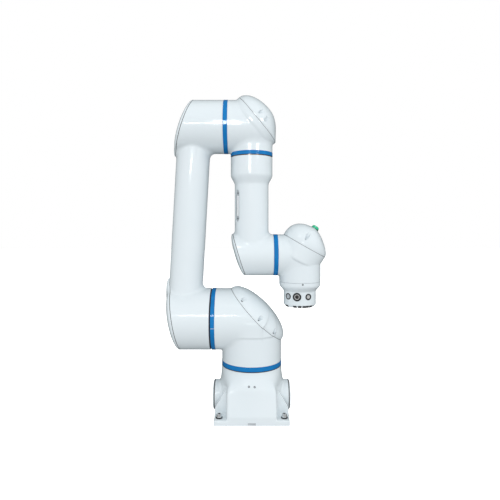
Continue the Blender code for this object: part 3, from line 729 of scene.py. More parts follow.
def band(name, body, radius, at, axis, width, finish, *nodes, wall=0.008, soft=0.0006):
    """A turned ring that starts at a point and runs along the axis."""
    profile = washer(radius - wall, radius, 0, width)
    return turned(name, profile, at, axis, TURNS, finish, body, *nodes, soft=soft)


# ---- base

BLOCK = (0.0845, 0.140, 0.108)
BLOCK_TOP = (0.100, 0.135)
BASE_HALF_X = 0.128
LUG_TOP = 0.017
BOSS_R, BOSS_Z, BOSS_X = 0.0515, 0.0555, 0.1320
FLARE = 0.0060
FLARE_TOP, FLARE_DEPTH = 0.160, 0.050
LEAN_FROM, LEAN = 0.028, 0.24
ROOF_FOOT_Z = 0.121
WEB_FOOT = (0.1223, 0.048)
WEB_TOP_Z = 0.0975
S_SEAL = 0.0026
BOLT_HOLE_R = 0.0071
SIDE_SCREWS_R = 0.0405
FRONT_SCREWS = ((-0.0098, 0.1240), (0.0098, 0.1230))


def base_outer(p):
    x, y, z = np.abs(p[:, 0]), np.abs(p[:, 1]), p[:, 2]
    spread = np.clip((FLARE_TOP - z) / FLARE_DEPTH, 0, 1)
    neck = np.hypot(x, y) - TURRET_R - 0.001 - FLARE * spread**2
    lean = (-p[:, 1] - BLOCK[1]) + np.clip(z - LEAN_FROM, 0, 1) * LEAN
    back = common(p[:, 1] - BLOCK[1], 0.83 * (p[:, 1] - BLOCK_TOP[0]) + 0.56 * (z - BLOCK_TOP[1]), 0.02)
    roof = 0.50 * (np.hypot(x, y) - BLOCK[1]) + 0.866 * (z - ROOF_FOOT_Z)
    block = common(common(x - BLOCK[0], common(lean, back), 0.008), roof, 0.022)
    shape = joined(neck, block, 0.026)
    fall = (1.66 * (x - WEB_FOOT[0]) + (z - WEB_FOOT[1])) / math.hypot(1.66, 1)
    fall = common(fall, z - WEB_TOP_Z, 0.004)
    gusset = common(common(np.abs(y - 0.074) - 0.011, fall, 0.003), x - BASE_HALF_X, 0.004)
    shape = joined(shape, gusset, 0.006)
    boss = common(np.hypot(y, z - BOSS_Z) - BOSS_R, x - BOSS_X - 0.02)
    shape = joined(shape, boss, 0.008)
    foot = plate(p, (-BASE_HALF_X, -BLOCK[1], -0.05), (BASE_HALF_X, BLOCK[1], LUG_TOP), 0.004)
    return joined(shape, foot, 0.0004 + 0.0046 * np.clip((x - 0.079) / 0.006, 0, 1))


def base_cavity(p):
    well = common(bar_z(p, 0, TURRET_R + 0.001 - 2 * WALL), FLOOR - p[:, 2])
    bosses = common(bar_x(p, BOSS_Z, BOSS_R - WALL), 0.085 - np.abs(p[:, 0]))
    return any_of(well, bosses)


def make_base():
    ends = [((0, 0, 0), -Z), ((0, 0, NECK_TOP - S_SEAL), Z), ((-BOSS_X, 0, 0), -X), ((BOSS_X, 0, 0), X)]
    places = [Vector((middle(f"base_bolt_{n}", 0), middle(f"base_bolt_{n}", 1), 0)) for n in range(1, 5)]
    cutters = [lathe(rod(BOLT_HOLE_R, -0.01, 0.03), at, Z, 32) for at in places]
    low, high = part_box("base_rear_panel")
    cutters.append(box_mesh((low.x - GAP, 0.060, low.z - GAP), (high.x + GAP, 0.152, high.z + GAP)))
    cutters.append(box_mesh((-0.0135, -0.152, -0.01), (0.0135, -0.1365, 0.0092)))
    cutters.append(lathe(rod(0.0034, 0.004, 0.03), (0.0960, -0.1190, 0), Z, 24))
    low, high = (-0.142, -0.150, -0.010), (0.142, 0.150, NECK_TOP + 0.010)
    casting("base", base_outer, base_cavity, low, high, ends, FINE_CELL, cutters=cutters)
    foot = (0, 0, NECK_TOP - S_SEAL + 0.0002)
    band("s_seal", "base", TURRET_R + 0.0004, foot, Z, S_SEAL - 0.0002, RUBBER, soft=0.0004)
    for side, word in ((-1, "left"), (1, "right")):
        side_cover(side, word)
    for number, at in enumerate(places, 1):
        base_bolt(number, at)
    for number, (x, z) in enumerate(FRONT_SCREWS, 1):
        at = np.array((x, -0.150, z))
        for _ in range(60):
            at = at + Y * float(base_outer(at[None])[0]) * 0.8
        slope = gradient(base_outer, at[None])[0]
        screw(f"base_front_screw_{number}", at, slope / np.linalg.norm(slope), "base", 0.0034)
    inset = box_mesh((-0.0132, -0.1392, 0.0003), (0.0132, -0.1368, 0.0089))
    piece("base_notch_plate", inset, PALE, "base")
    rear_sockets()


def side_cover(side, word):
    """A domed cover on a side boss, with its gasket and four screws."""
    out = X * side
    profile = [(0, 0), (0.0504, 0), (0.0504, 0.0010), (0.0470, 0.0034), (0.0300, 0.0053), (0.012, 0.0059)]
    profile += [(0, 0.0060)]
    at = (side * (BOSS_X + 0.0029), 0, BOSS_Z)
    node = f"base_cover_{word}"
    turned(f"base_side_cover_{word}", profile, at, out, 128, ENAMEL, "base", node, soft=0.0016)
    at = (side * (BOSS_X + 0.0001), 0, BOSS_Z)
    band(f"base_side_gasket_{word}", "base", 0.0518, at, out, 0.0027, RUBBER, wall=0.010, soft=0.0004)
    for k in range(4):
        turn = math.radians(45 + 90 * k)
        y, z = SIDE_SCREWS_R * math.cos(turn), BOSS_Z + SIDE_SCREWS_R * math.sin(turn)
        at = (side * (BOSS_X + 0.0069), y, z)
        screw(f"base_side_screw_{word}_{k + 1}", at, out, "base", 0.0026)


def base_bolt(number, at):
    """A socket-head bolt and its washer, standing on a lug. The dark washer and the black disc in the socket
    are painted shade.
    """
    seat = LUG_TOP + 0.0002
    # Painted shade: the washer is dark to stand for the shadow round the foot of the bolt head.
    ring = washer(0.0064, 0.0118, seat, seat + 0.0022)
    turned(f"base_painted_shade_washer_{number}", ring, at, Z, 48, DARK_BOLT, "base", soft=0.0005)
    head = seat + 0.0023
    profile = [(0, 0.0010), (0.0060, 0.0010), (0.0060, head), (0.0092, head), (0.0092, head + 0.0112)]
    profile += [(0.0084, head + 0.0120), (0.0056, head + 0.0120), (0.0052, head + 0.0116)]
    profile += [(0.0052, head + 0.0060), (0, head + 0.0046)]
    turned(f"base_bolt_head_{number}", profile, at, Z, 48, BOLT, "base", f"base_bolt_{number}", hexes=(7, 8))
    # Painted shade: a black disc at the bottom of the socket stands for the shade inside it.
    floor = [(0, head + 0.0047), (0.0049, head + 0.0047), (0.0049, head + 0.0098), (0, head + 0.0090)]
    turned(f"base_bolt_socket_shade_{number}", floor, at, Z, 48, BLACK, "base", soft=0.0003)


REAR_SOCKETS = (("power", "power_inlet", 0.0150, 4), ("signal", "signal_connector", 0.0125, 8))


def rear_sockets():
    """The two connectors in the rear panel, and the panel's screws."""
    low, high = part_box("base_rear_panel")
    height = (low.z + high.z) / 2
    for name, node, radius, pins in REAR_SOCKETS:
        at = Vector((middle(node, 0), high.y + GAP, height))
        profile = [(0, 0), (radius + 0.005, 0), (radius + 0.005, 0.003), (radius, 0.003), (radius, 0.0175)]
        profile += [(radius - 0.002, 0.0175), (radius - 0.002, 0.005), (0, 0.005)]
        turned(f"{name}_socket_body", profile, at, Y, 72, NICKEL, "base", node, soft=0.0006)
        insert = rod(radius - 0.0023, 0.0052, 0.0120)
        turned(f"{name}_socket_insert", insert, at, Y, 48, BLACK, "base", soft=0.0005)
        for k in range(pins):
            turn = TURN * k / pins
            foot = at + Vector((0.58 * radius * math.cos(turn), 0.0121, 0.58 * radius * math.sin(turn)))
            pin = [(0, 0), (0.0008, 0), (0.0008, 0.0034), (0.0004, 0.0042), (0, 0.0044)]
            turned(f"{name}_pin_{k + 1}", pin, foot, Y, 12, NICKEL, "base")
    for number, (x, z) in enumerate(((-1, -1), (1, -1), (-1, 1), (1, 1)), 1):
        at = (x * (high.x - 0.005), high.y, height + z * ((high.z - low.z) / 2 - 0.005))
        screw(f"rear_panel_screw_{number}", at, Y, "base", 0.0028, BOLT)


# ---- turret

COLLAR_LOW = 0.285


def turret_outer(p):
    neck = common(bar_z(p, 0, TURRET_R), p[:, 2] - 0.30)
    collar = common(bar_z(p, 0, SHOULDER_R), np.maximum(COLLAR_LOW - p[:, 2], p[:, 2] - LOWER_Z), 0.002)
    barrel = common(bar_x(p, LOWER_Z, SHOULDER_R), p[:, 0] - 0.036)
    return joined(joined(neck, collar, 0.005), barrel, 0.008)


def turret_cavity(p):
    well = common(bar_z(p, 0, TURRET_R - WALL), np.maximum(TURRET_LOW + FLOOR - p[:, 2], p[:, 2] - LOWER_Z))
    barrel = common(bar_x(p, LOWER_Z, SHOULDER_R - WALL), p[:, 0] - 0.020)
    return any_of(well, barrel, common(bar_z(p, 0, CABLE_R), p[:, 2] - LOWER_Z))


L_RING_GIVES, L_RING_TAKES = 0.0024, 0.0022
TURRET_SCREWS = (-0.078, 0.006, 0.076)


def make_turret():
    seam = Seam(TURRET_SEAM, (1, 0, 1), 0.0075, SHOULDER_R)
    end = TURRET_END + L_RING_TAKES
    ends = [((0, 0, TURRET_LOW), -Z), ((end, 0, 0), -X), seam.cut(LIFT)]
    low = (TURRET_END - 0.010, -0.122, TURRET_LOW - 0.010)
    casting("turret", turret_outer, turret_cavity, low, (0.122, 0.122, 0.455), ends, CELL, seam)
    pockets = rim_pockets(seam, TURRET_SCREWS, SHOULDER_R, 0.0078)
    covered("turret_dome", "turret", turret_outer, seam, "turret_cover", 0.052, 0.019, pockets)
    low, high = span("s_joint_ring", 2)
    band("s_ring", "turret", TURRET_R + PROUD, (0, 0, low), Z, high - low, BLUE, "s_joint_ring")
    low, high = span("l_joint_ring", 0)
    low, high = low + L_RING_GIVES, high + L_RING_TAKES
    band("l_ring", "turret", SHOULDER_R + PROUD, (high, 0, LOWER_Z), -X, high - low, BLUE, "l_joint_ring")
    mark = ring_mark(SHOULDER_R + PROUD, low + 0.0006, high - 0.0006, math.radians(-7))
    piece("l_ring_zero_mark", mark, ENAMEL, "turret")


def ring_mark(radius, low, high, angle, width=0.0011, height=0.00025):
    """A thin raised line along a level ring."""
    out = Vector((0, -math.cos(angle), math.sin(angle)))
    across = Vector((0, math.sin(angle), math.cos(angle)))
    bm = bmesh.new()
    bmesh.ops.create_cube(bm, size=1.0)
    for vert in bm.verts:
        x = low if vert.co.x < 0 else high
        rise = radius + (height if vert.co.z > 0 else -height)
        vert.co = Vector((x, 0, LOWER_Z)) + out * rise + across * vert.co.y * width
    bmesh.ops.bevel(bm, geom=bm.edges[:], offset=0.0001, segments=1, affect="EDGES")
    return taken(bm)


# ---- lower arm

TUBE_R = 0.0608
TUBE_LOW = (-0.2468, 0, LOWER_Z)
TUBE_HIGH = (-0.2078, 0, UPPER_Z)


def arm_outer(p):
    shoulder = common(bar_x(p, LOWER_Z, SHOULDER_R), p[:, 0] - ARM_SHOULDER_FACE - 0.012)
    elbow = common(bar_x(p, UPPER_Z, ELBOW_R), p[:, 0] - ARM_ELBOW_FACE - 0.012)
    tube = bar_between(p, TUBE_LOW, TUBE_HIGH, TUBE_R)
    fillet = front_fillet(p, 0.006, 0.026, 0.052)
    return joined(joined(tube, shoulder, fillet), elbow, fillet)


def arm_cavity(p):
    shoulder = common(bar_x(p, LOWER_Z, SHOULDER_R - WALL), p[:, 0] - ARM_SHOULDER_FACE + FLOOR)
    shaft = common(bar_x(p, LOWER_Z, CABLE_R), np.abs(p[:, 0] - ARM_SHOULDER_FACE) - 0.03)
    tube = bar_between(p, TUBE_LOW, TUBE_HIGH, TUBE_R - TUBE_WALL)
    elbow = bar_x(p, UPPER_Z, ELBOW_R - WALL)
    return any_of(shoulder, shaft, tube, elbow)


def make_lower_arm():
    bottom = Seam(SHOULDER_CAP, (-1, 0, 0))
    top = Seam(ELBOW_CAP, (-1, 0, 0))
    ends = [((ARM_SHOULDER_FACE, 0, 0), X, 0.6), ((ARM_ELBOW_FACE, 0, 0), X)]
    ends += [bottom.cut(CAP_LIFT), top.cut(CAP_LIFT)]
    low = (-0.345, -0.122, LOWER_Z - 0.125)
    high = (ARM_ELBOW_FACE + 0.010, 0.122, UPPER_Z + 0.110)
    casting("lower_arm", arm_outer, arm_cavity, low, high, ends)
    for name, seam, node, height in (
        ("shoulder_cap", bottom, "shoulder_end_cap", 0.0262),
        ("elbow_cap", top, "elbow_end_cap", 0.0190),
    ):
        covered(name, "lower_arm", arm_outer, seam, node, height, 0.004, lift=CAP_LIFT)
    low, high = span("l_joint_seal", 0)
    width = high + L_RING_GIVES - low
    at = (low, 0, LOWER_Z)
    band("l_seal", "lower_arm", SHOULDER_R - 0.0030, at, X, width, RUBBER, "l_joint_seal", soft=0.0004)
    low, high = span("u_joint_ring", 0)
    band("u_ring", "lower_arm", ELBOW_R + PROUD, (low, 0, UPPER_Z), X, high - low, BLUE, "u_joint_ring")


# ---- elbow

ELBOW_HALF_WIDE = 0.1005
ELBOW_PLANE = Seam(ELBOW_SEAM, (1, 0, 1), 0.0080, ELBOW_HALF_WIDE)


def elbow_outer(p):
    barrel = bar_between(p, (-0.2, 0, UPPER_Z), (0, 0, UPPER_Z), ELBOW_R)
    neck = common(bar_z(p, 0, SLEEVE_R), p[:, 2] - UPPER_Z)
    skirt = oval_skirt(p, ELBOW_PLANE, ELBOW_HALF_WIDE, 0.043, 0.0, 0.020)
    return joined(joined(barrel, neck, 0.009), skirt, 0.0008)


def elbow_cavity(p):
    inside = np.maximum(ELBOW_FACE + FLOOR - p[:, 0], p[:, 0] - 0.010)
    barrel = common(bar_x(p, UPPER_Z, ELBOW_R - WALL), inside)
    shaft = common(bar_x(p, UPPER_Z, 0.030), p[:, 0])
    neck = common(bar_z(p, 0, SLEEVE_R - WALL), p[:, 2] - UPPER_Z - 0.018)
    skirt = oval_skirt(p, ELBOW_PLANE, ELBOW_HALF_WIDE, 0.032, 0.004, 0.010) + WALL
    return any_of(barrel, shaft, neck, skirt)


ELBOW_SCREWS = (0.001, 0.031)
R_RING_DROP = 0.0020


def make_elbow():
    seam = ELBOW_PLANE
    bottom = (0, 0, ELBOW_LOW - R_RING_DROP)
    ends = [((ELBOW_FACE, 0, 0), -X), (bottom, -Z), seam.cut(LIFT)]
    low, high = (ELBOW_FACE - 0.010, -0.108, ELBOW_LOW - 0.010), (0.110, 0.108, 1.150)
    casting("elbow", elbow_outer, elbow_cavity, low, high, ends, FINE_CELL, seam)
    law = {"lean": 0.80, "lean_power": 2.5}
    pockets = rim_pockets(seam, ELBOW_SCREWS, ELBOW_HALF_WIDE, 0.0090)
    covered("elbow_dome", "elbow", elbow_outer, seam, "elbow_cover", 0.0590, 0.018, pockets, **law)
    low, high = span("r_joint_ring", 2)
    low, high = low - R_RING_DROP, high - R_RING_DROP
    at, width = (0, 0, low + 0.0002), high - low - 0.0002
    band("r_ring", "elbow", SLEEVE_R + PROUD, at, Z, width, BLUE, "r_joint_ring")
    lip = (0, 0, low - 0.0026)
    band("r_ring_bearing_lip", "elbow", SLEEVE_R - 0.0006, lip, Z, 0.0031, BRONZE, wall=0.006, soft=0.0004)


# ---- forearm

SLEEVE_END = 0.854
TUBE_START = 0.820
FORE_TUBE_R = 0.0615
B_RING_TAKES = 0.0022
SLOT_ANGLE = math.radians(-59)
SLOT_Z = (0.685, 0.800)
SLOT_WIDTH = 0.026


def forearm_outer(p):
    z = p[:, 2]
    share = np.clip((z - TUBE_START) / (SLEEVE_END - TUBE_START), 0, 1)
    eased = share * share * (3 - 2 * share)
    tube = np.hypot(p[:, 0], p[:, 1]) - FORE_TUBE_R - (SLEEVE_R - FORE_TUBE_R) * (0.35 * share + 0.65 * eased)
    tube = common(tube, BEND_Z - z)
    bend = common(bar_x(p, BEND_Z, BEND_R), p[:, 0] - BEND_FACE - 0.012)
    return joined(tube, bend, front_fillet(p, 0.005, 0.018, 0.050))


def forearm_cavity(p):
    z = p[:, 2]
    tube = common(bar_z(p, 0, FORE_TUBE_R - TUBE_WALL), np.maximum(z - FOREARM_TOP + FLOOR, BEND_Z - z))
    sleeve = common(bar_z(p, 0, SLEEVE_R - WALL), np.maximum(z - FOREARM_TOP + FLOOR, SLEEVE_END + 0.004 - z))
    shaft = common(bar_z(p, 0, 0.024), BEND_Z - z)
    bend = bar_x(p, BEND_Z, BEND_R - 0.0080)
    return any_of(tube, sleeve, shaft, bend)


def stadium(centre, out, across, half_long, radius, low, high, steps=12):
    """A plate with round ends, upright, between two distances along its outward direction."""
    ring = []
    for end, first in ((1, 0.0), (-1, math.pi)):
        for step in range(steps + 1):
            turn = first + math.pi * step / steps
            ring.append(across * radius * math.cos(turn) + Z * (end * half_long + radius * math.sin(turn)))
    near = [centre + out * low + r for r in ring]
    far = [centre + out * high + r for r in ring]
    shrunk = [centre + out * high + r * (1 - 0.0006 / radius) for r in ring]
    raised = [point - out * 0.0006 for point in far]
    return grid_mesh([[centre + out * low], near, raised, shrunk, [centre + out * high]])


def make_forearm():
    seam = Seam(BEND_CAP, (-1, 0, 0))
    ends = [((0, 0, FOREARM_TOP - 0.0030 - R_RING_DROP), Z), ((BEND_FACE - B_RING_TAKES, 0, 0), X)]
    ends.append(seam.cut(CAP_LIFT))
    out = np.array((math.sin(SLOT_ANGLE), -math.cos(SLOT_ANGLE), 0))
    across = np.array((math.cos(SLOT_ANGLE), math.sin(SLOT_ANGLE), 0))
    centre = np.array((0, 0, sum(SLOT_Z) / 2))
    half_long = (SLOT_Z[1] - SLOT_Z[0]) / 2 - SLOT_WIDTH / 2

    def plate_at(middle_of, shorter, radius, low, high):
        low, high = FORE_TUBE_R + low, FORE_TUBE_R + high
        return stadium(middle_of, out, across, half_long - shorter, radius, low, high)

    recess = plate_at(centre, 0, SLOT_WIDTH / 2, -0.0030, 0.02)
    low, high = (-0.100, -0.086, BEND_Z - BEND_R - 0.010), (BEND_FACE + 0.010, 0.086, FOREARM_TOP + 0.010)
    casting("forearm", forearm_outer, forearm_cavity, low, high, ends, cutters=[recess])
    # Painted shade: the recess floor is pale grey to stand for the shade down the side of the recess.
    floor = plate_at(centre, 0, SLOT_WIDTH / 2 - 0.0012, -0.0031, -0.0024)
    piece("forearm_recess_painted_shade_floor", floor, PALE, "forearm")
    aside = centre + across * 0.0035
    # Partly painted highlight: the strip is whiter than the enamel to stand for the light caught by the
    # groove's wall.
    strip = plate_at(aside, 0.012, 0.0046, -0.0030, 0.0004)
    piece("forearm_recess_highlight_strip", strip, WHITE, "forearm")
    for number, end in enumerate((1, -1), 1):
        at = aside + out * (FORE_TUBE_R - 0.0022) + Z * end * (half_long + 0.001)
        screw(f"forearm_recess_screw_{number}", at, out, "forearm", 0.0030)
    covered("bend_cap", "forearm", forearm_outer, seam, "forearm_end_cap", 0.0138, 0.004, lift=CAP_LIFT)
    low, high = span("b_joint_ring", 0)
    low -= B_RING_TAKES
    band("b_ring", "forearm", BEND_R + PROUD, (low, 0, BEND_Z), X, high - low, BLUE, "b_joint_ring")


# ---- wrist

WRIST_HALF_WIDE = 0.0830
WRIST_NECK_R, WRIST_WALL = 0.0750, 0.0070
WRIST_PLANE = Seam(WRIST_SEAM, (1, 0, 1), 0.003, WRIST_HALF_WIDE)


def wrist_outer(p):
    barrel = common(bar_x(p, BEND_Z, BEND_R), p[:, 0] - TOOL_X)
    neck = common(bar_z(p, TOOL_X, WRIST_NECK_R), p[:, 2] - BEND_Z)
    skirt = oval_skirt(p, WRIST_PLANE, WRIST_HALF_WIDE, 0.062, 0.0006, 0.011, 0.004)
    return joined(joined(barrel, neck, 0.010), skirt, 0.0006)


def wrist_cavity(p):
    inside = np.maximum(WRIST_FACE + FLOOR - p[:, 0], p[:, 0] - TOOL_X)
    barrel = common(bar_x(p, BEND_Z, BEND_R - WRIST_WALL), inside)
    shaft = common(bar_x(p, BEND_Z, 0.025), p[:, 0] - TOOL_X)
    neck = common(bar_z(p, TOOL_X, WRIST_NECK_R - WRIST_WALL), p[:, 2] - BEND_Z)
    skirt = oval_skirt(p, WRIST_PLANE, WRIST_HALF_WIDE, 0.058, 0.006, 0.006, 0.012) + 0.0085
    return any_of(barrel, shaft, neck, skirt)


WRIST_SCREWS = (-0.015,)
LAMP_AXIS = (0.55, 0, 0.835)


def make_wrist():
    seam = WRIST_PLANE
    ends = [((WRIST_FACE, 0, 0), -X), ((0, 0, WRIST_LOW), -Z), seam.cut(LIFT)]
    low, high = (WRIST_FACE - 0.010, -0.090, WRIST_LOW - 0.010), (0.285, 0.090, 0.665)
    casting("wrist", wrist_outer, wrist_cavity, low, high, ends, FINE_CELL, seam)
    law = {"power": 2.4, "root": 1 / 2.4, "lean": 0.585, "lean_power": 1.42}
    pockets = rim_pockets(seam, WRIST_SCREWS, WRIST_HALF_WIDE, 0.0085)
    cover = covered("wrist_dome", "wrist", wrist_outer, seam, "wrist_cover", 0.0728, 0.018, pockets, **law)
    status_lamp(cover)


def status_lamp(cover):
    """The lamp stands where its axis goes through the cover."""
    low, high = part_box("status_lamp")
    axis = np.array(LAMP_AXIS) / np.linalg.norm(LAMP_AXIS)
    at = np.array(((low.x + high.x) / 2, 0, (low.z + high.z) / 2))
    for _ in range(40):
        skin_point = cover.top((at - cover.seam.centre) @ cover.seam.along)
        at = at + axis * ((skin_point - at) @ axis) * 0.5
    profile = [(0, -0.006), (0.0120, -0.006), (0.0134, 0.0), (0.0134, 0.0042), (0.0122, 0.0078)]
    profile += [(0.0085, 0.0102), (0, 0.0112)]
    lens = lathe(softened(profile, 0.0020, 4), at, axis, 72)
    piece("lamp_lens", lens, LENS, "wrist", "status_lamp")
    band("lamp_bezel", "wrist", 0.0146, at - axis * 0.0030, axis, 0.0036, RUBBER, wall=0.0014, soft=0.0004)


# ---- tool housing

TOOL_TOP = span("tool_housing", 2)[1]
FACE_Z = span("tool_flange", 2)[0]
TOOL_R = 0.0588
PORT_Z = middle("tool_connector", 2)


def radial(angle_deg):
    angle = math.radians(angle_deg)
    return Vector((math.sin(angle), -math.cos(angle), 0))


def sector(profile, at, first, last, steps=10):
    """A piece of a turned ring between two angles in degrees, measured from the front."""
    rows = []
    for step in range(steps + 1):
        out = radial(first + (last - first) * step / steps)
        rows.append([Vector(at) + out * r + Vector((0, 0, h)) for r, h in profile])
    ends = [[sum(row, Vector()) / len(row)] for row in (rows[0], rows[-1])]
    return grid_mesh([ends[0], *rows, ends[1]])


# The radius of the bore for each port
PORTS = {"teach_button": 0.0116, "record_button": 0.0116, "tool_connector": 0.0150}


def make_tool():
    tool = Vector((TOOL_X, 0, 0))
    outer = [(TOOL_R - 0.0062, 0.3795), (TOOL_R - 0.0005, 0.3868), (TOOL_R, 0.3895), (TOOL_R, 0.4340)]
    outer += [(0.0600, 0.4372), (0.0655, 0.4432), (0.0718, 0.4500), (0.0745, 0.4555), (0.0750, 0.4610)]
    outer += [(0.0750, TOOL_TOP)]
    inner = [(CABLE_R, TOOL_TOP), (CABLE_R, TOOL_TOP - FLOOR), (0.0600, TOOL_TOP - FLOOR), (0.0460, 0.440)]
    inner += [(0.0460, 0.3925), (0.0510, 0.3915)]
    housing = lathe(softened(outer + inner, 0.0010), tool, Z, TURNS)
    ways = {node: port_way(node) for node in PORTS}
    centre = tool + Vector((0, 0, PORT_Z))
    cutters = [lathe(rod(PORTS[node], 0, 0.05), centre + way * 0.030, way, 64) for node, way in ways.items()]
    piece("tool_shell", smooth(cut_by(housing, cutters)), ENAMEL, "tool", "tool_housing")
    at = tool + Vector((0, 0, TOOL_TOP - 0.0040)) + radial(2) * 0.0751
    screw("tool_index_screw", at, radial(2), "tool", 0.0030)
    tool_plate(tool)
    rim_gap_shade(tool)
    for node, way in ways.items():
        if node == "tool_connector":
            connector(centre, way)
        else:
            button(node, centre, way)


def port_way(node):
    """The direction of a port, level and away from the tool axis."""
    return radial(math.degrees(math.atan2(middle(node, 0) - TOOL_X, -middle(node, 1))))


def tool_plate(tool):
    """The mounting plate, with its pilot bore and four holes."""
    face = tool + Vector((0, 0, FACE_Z))
    profile = [(0.0158, 0), (0.0450, 0), (0.0475, 0.0022), (0.0500, 0.0100), (0.0450, 0.0125)]
    profile += [(0.0158, 0.0125)]
    plate_mesh = lathe(softened(profile, 0.0006), face, Z, 128)
    holes = []
    for step in range(4):
        at = face + radial(135 + 90 * step) * 0.025 - Vector((0, 0, 0.01))
        holes.append(lathe(rod(0.003, 0, 0.03), at, Z, 24))
    piece("tool_plate", smooth(cut_by(plate_mesh, holes)), ALUMINIUM, "tool", "tool_flange")


# Angles in degrees from the front of the black sectors that paint the shade in the gaps round the plate
GAP_SHADE_SPANS = ((-68, -53), (-31, -17.5), (-12.5, 0), (4, 29), (31, 45))


def rim_gap_shade(tool):
    """Black sectors in the chamfer round the mounting plate, painted shade for the dark gaps between the
    housing and the plate; the same ones on both halves.
    """
    profile = [(0.0530, 0.3790), (0.0588, 0.3866), (0.0574, 0.3876), (0.0516, 0.3800)]
    spans = [(first + start, last + start) for start in (0, 180) for first, last in GAP_SHADE_SPANS]
    for number, (first, last) in enumerate(spans, 1):
        piece(f"tool_rim_gap_shade_{number}", sector(profile, tool, first, last), BLACK, "tool")


def connector(centre, out):
    """The round tool connector: a metal shell, a collar, a dark insert and its contacts."""
    profile = [(0, 0.0475), (0.0127, 0.0475), (0.0127, 0.0600), (0.0119, 0.0608), (0.0104, 0.0608)]
    profile += [(0.0100, 0.0600), (0.0100, 0.0520), (0, 0.0520)]
    turned("connector_shell", profile, centre, out, 72, DARK_BOLT, "tool", "tool_connector")
    bezel = washer(0.0128, 0.0150, 0.0560, 0.0604)
    turned("connector_bezel", bezel, centre, out, 72, BLACK, "tool", soft=0.0005)
    collar = washer(0.0068, 0.0094, 0.0522, 0.0596)
    turned("connector_collar", collar, centre, out, 64, NICKEL, "tool", soft=0.0004)
    turned("connector_insert", rod(0.0066, 0.0522, 0.0566), centre, out, 48, BLACK, "tool", soft=0.0005)
    side = out.cross(Vector((0, 0, 1)))
    for k in range(8):
        turn = TURN * k / 8
        reach = 0.0045 if k else 0.0
        foot = centre + side * reach * math.cos(turn) + Vector((0, 0, reach * math.sin(turn)))
        pin = [(0, 0.0567), (0.0006, 0.0567), (0.0006, 0.0584), (0, 0.0588)]
        turned(f"connector_pin_{k + 1}", pin, foot, out, 12, BRONZE, "tool")


def button(node, centre, out):
    """A push button in its dark bezel; the cap moves, the bezel stays."""
    inner, finish = (0.0084, PALE) if node == "teach_button" else (0.0074, NICKEL)
    bezel = washer(inner, 0.0115, 0.0500, 0.0600)
    turned(f"{node}_bezel", bezel, centre, out, 64, BLACK, "tool", soft=0.0006)
    cap = [(0, 0.0475), (0.0062, 0.0475), (0.0062, 0.0545), (inner - 0.0004, 0.0550)]
    cap += [(inner - 0.0004, 0.0590), (inner - 0.0014, 0.0602), (0, 0.0592)]
    turned(f"{node}_cap", cap, centre, out, 56, finish, node, node, soft=0.0008)


# ---- carried CAD pieces


def dress_carried():
    finishes = {
        "motor_stator": WINDINGS,
        "motor_rotor": STEEL,
        "gear_ring": STEEL,
        "output_flange": ALUMINIUM,
        "brake_and_encoder": BLACK,
        "rear_panel": BLACK,
    }
    for name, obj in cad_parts.items():
        for ending, finish in finishes.items():
            if name.endswith(ending):
                obj.data.materials.clear()
                obj.data.materials.append(finish.material)


# ---- stage


def softbox(name, at, target, width, height, power):
    data = bpy.data.lights.new(name, "AREA")
    data.shape = "RECTANGLE"
    data.size, data.size_y, data.energy = width, height, power
    obj = placed(name, data)
    obj.location = at
    obj.rotation_euler = (Vector(target) - Vector(at)).to_track_quat("-Z", "Y").to_euler()
    obj.visible_camera = False
    return obj


def make_stage():
    """A pale floor under and behind the arm."""
    bm = bmesh.new()
    bmesh.ops.create_grid(bm, x_segments=1, y_segments=1, size=9.0)
    mesh = taken(bm)
    floor = placed("floor", mesh)
    floor.location = (0, 3.0, -0.0004)
    pale = bpy.data.materials.new("floor_pale")
    pale.use_nodes = True
    looks = {"Base_Color": (0.93, 0.93, 0.93, 1), "Roughness": 0.9}
    glow = {"Emission_Color": (1, 1, 1, 1), "Emission_Strength": 0.80}
    fill(pale.node_tree.nodes["Principled BSDF"], looks | glow)
    mesh.materials.append(pale)
    floor.visible_diffuse = False
    floor.visible_glossy = False


def colour_socket(sockets, name):
    return next(socket for socket in sockets if socket.type == "RGBA" and socket.name == name)


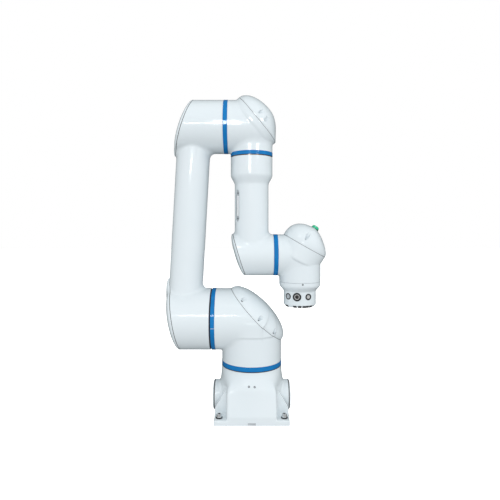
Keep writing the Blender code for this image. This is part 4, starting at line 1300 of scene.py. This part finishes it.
def make_world():
    """A bright room: white in front of the arm, dim behind it and below it. Its backdrop is plain white."""
    world = bpy.data.worlds.new("studio")
    bpy.context.scene.world = world
    world.use_nodes = True
    tree = world.node_tree
    link = tree.links.new

    def ranged(source, low, high, at_low, at_high):
        made = add_node(tree, "MapRange", From_Min=low, From_Max=high, To_Min=at_low, To_Max=at_high)
        made.interpolation_type = "SMOOTHSTEP"
        link(source, made.inputs["Value"])
        return made.outputs["Result"]

    background = tree.nodes["Background"]
    split = add_node(tree, "SeparateXYZ")
    link(add_node(tree, "TexCoord").outputs["Generated"], split.inputs["Vector"])
    shade = add_node(tree, "ValToRGB")
    shade.color_ramp.elements[0].color = (0.150, 0.185, 0.185, 1)
    shade.color_ramp.elements[1].color = (0.94, 0.955, 0.965, 1)
    link(ranged(split.outputs["Y"], 0.95, -0.95, 0.0, 1.0), shade.inputs["Fac"])
    path = add_node(tree, "LightPath")
    tint = add_node(tree, "Mix")
    tint.data_type = "RGBA"
    colour_socket(tint.inputs, "B").default_value = (1, 1, 1, 1)
    link(path.outputs["Is Camera Ray"], tint.inputs["Factor"])
    link(shade.outputs["Color"], colour_socket(tint.inputs, "A"))
    link(colour_socket(tint.outputs, "Result"), background.inputs["Color"])
    level = add_node(tree, "Math")
    level.operation = "MULTIPLY"
    link(ranged(split.outputs["Z"], -0.75, 0.10, 0.60, 1.0), level.inputs[0])
    link(ranged(path.outputs["Is Glossy Ray"], 0.0, 1.0, 1.0, 0.70), level.inputs[1])
    strength = add_node(tree, "Mix", B=1.0)
    link(path.outputs["Is Camera Ray"], strength.inputs["Factor"])
    link(level.outputs["Value"], strength.inputs["A"])
    link(strength.outputs["Result"], background.inputs["Strength"])


# Name, place, aim, width, height and power of the lights that give no highlights
SOFT_LIGHTS = (
    ("front", (0.1, -3.4, 1.5), (-0.05, 0, 0.55), 2.6, 2.0, 19),
    ("left_side", (-2.6, -0.3, 1.0), (0, 0, 0.6), 1.2, 2.0, 3.5),
    ("right_side", (2.4, -0.5, 1.7), (0, 0, 0.6), 1.6, 1.6, 11),
    ("top", (0.3, -0.5, 3.0), (0, 0, 0.4), 2.0, 2.0, 4),
    ("back", (0.2, 4.2, 1.5), (0, 0, 0.6), 1.4, 1.4, 42),
)
# The ones that do: the strip makes the long level streaks, the two uprights the short pairs at the elbow
STRIP_LIGHT = ("strip", (-0.38, -2.27, 1.20), (-0.20, 0, 0.7), 0.50, 0.09, 3.8)
UPRIGHTS_X = (-0.103, 0.309)


def make_lights():
    for light in SOFT_LIGHTS:
        softbox(*light).visible_glossy = False
    softbox(*STRIP_LIGHT)
    for x in UPRIGHTS_X:
        near = softbox(f"upright_{x}", (x, -0.51, 1.09), (x / 2, 0, 1.0), 0.11, 0.12, 0.36)
        near.visible_diffuse = False
        near.data.spread = math.radians(100)


def make_camera():
    data = bpy.data.cameras.new("camera")
    data.sensor_width = 36.0
    data.lens = 31.68
    data.shift_y = -0.044
    camera = placed("camera", data)
    camera.location = (-0.006, -1.613, 0.663)
    camera.rotation_euler = (math.radians(90), 0, 0)
    bpy.context.scene.camera = camera


make_camera()
make_base()
make_turret()
make_lower_arm()
make_elbow()
make_forearm()
make_wrist()
make_tool()
dress_carried()
make_stage()
make_world()
make_lights()
bpy.context.scene.view_settings.view_transform = "Standard"
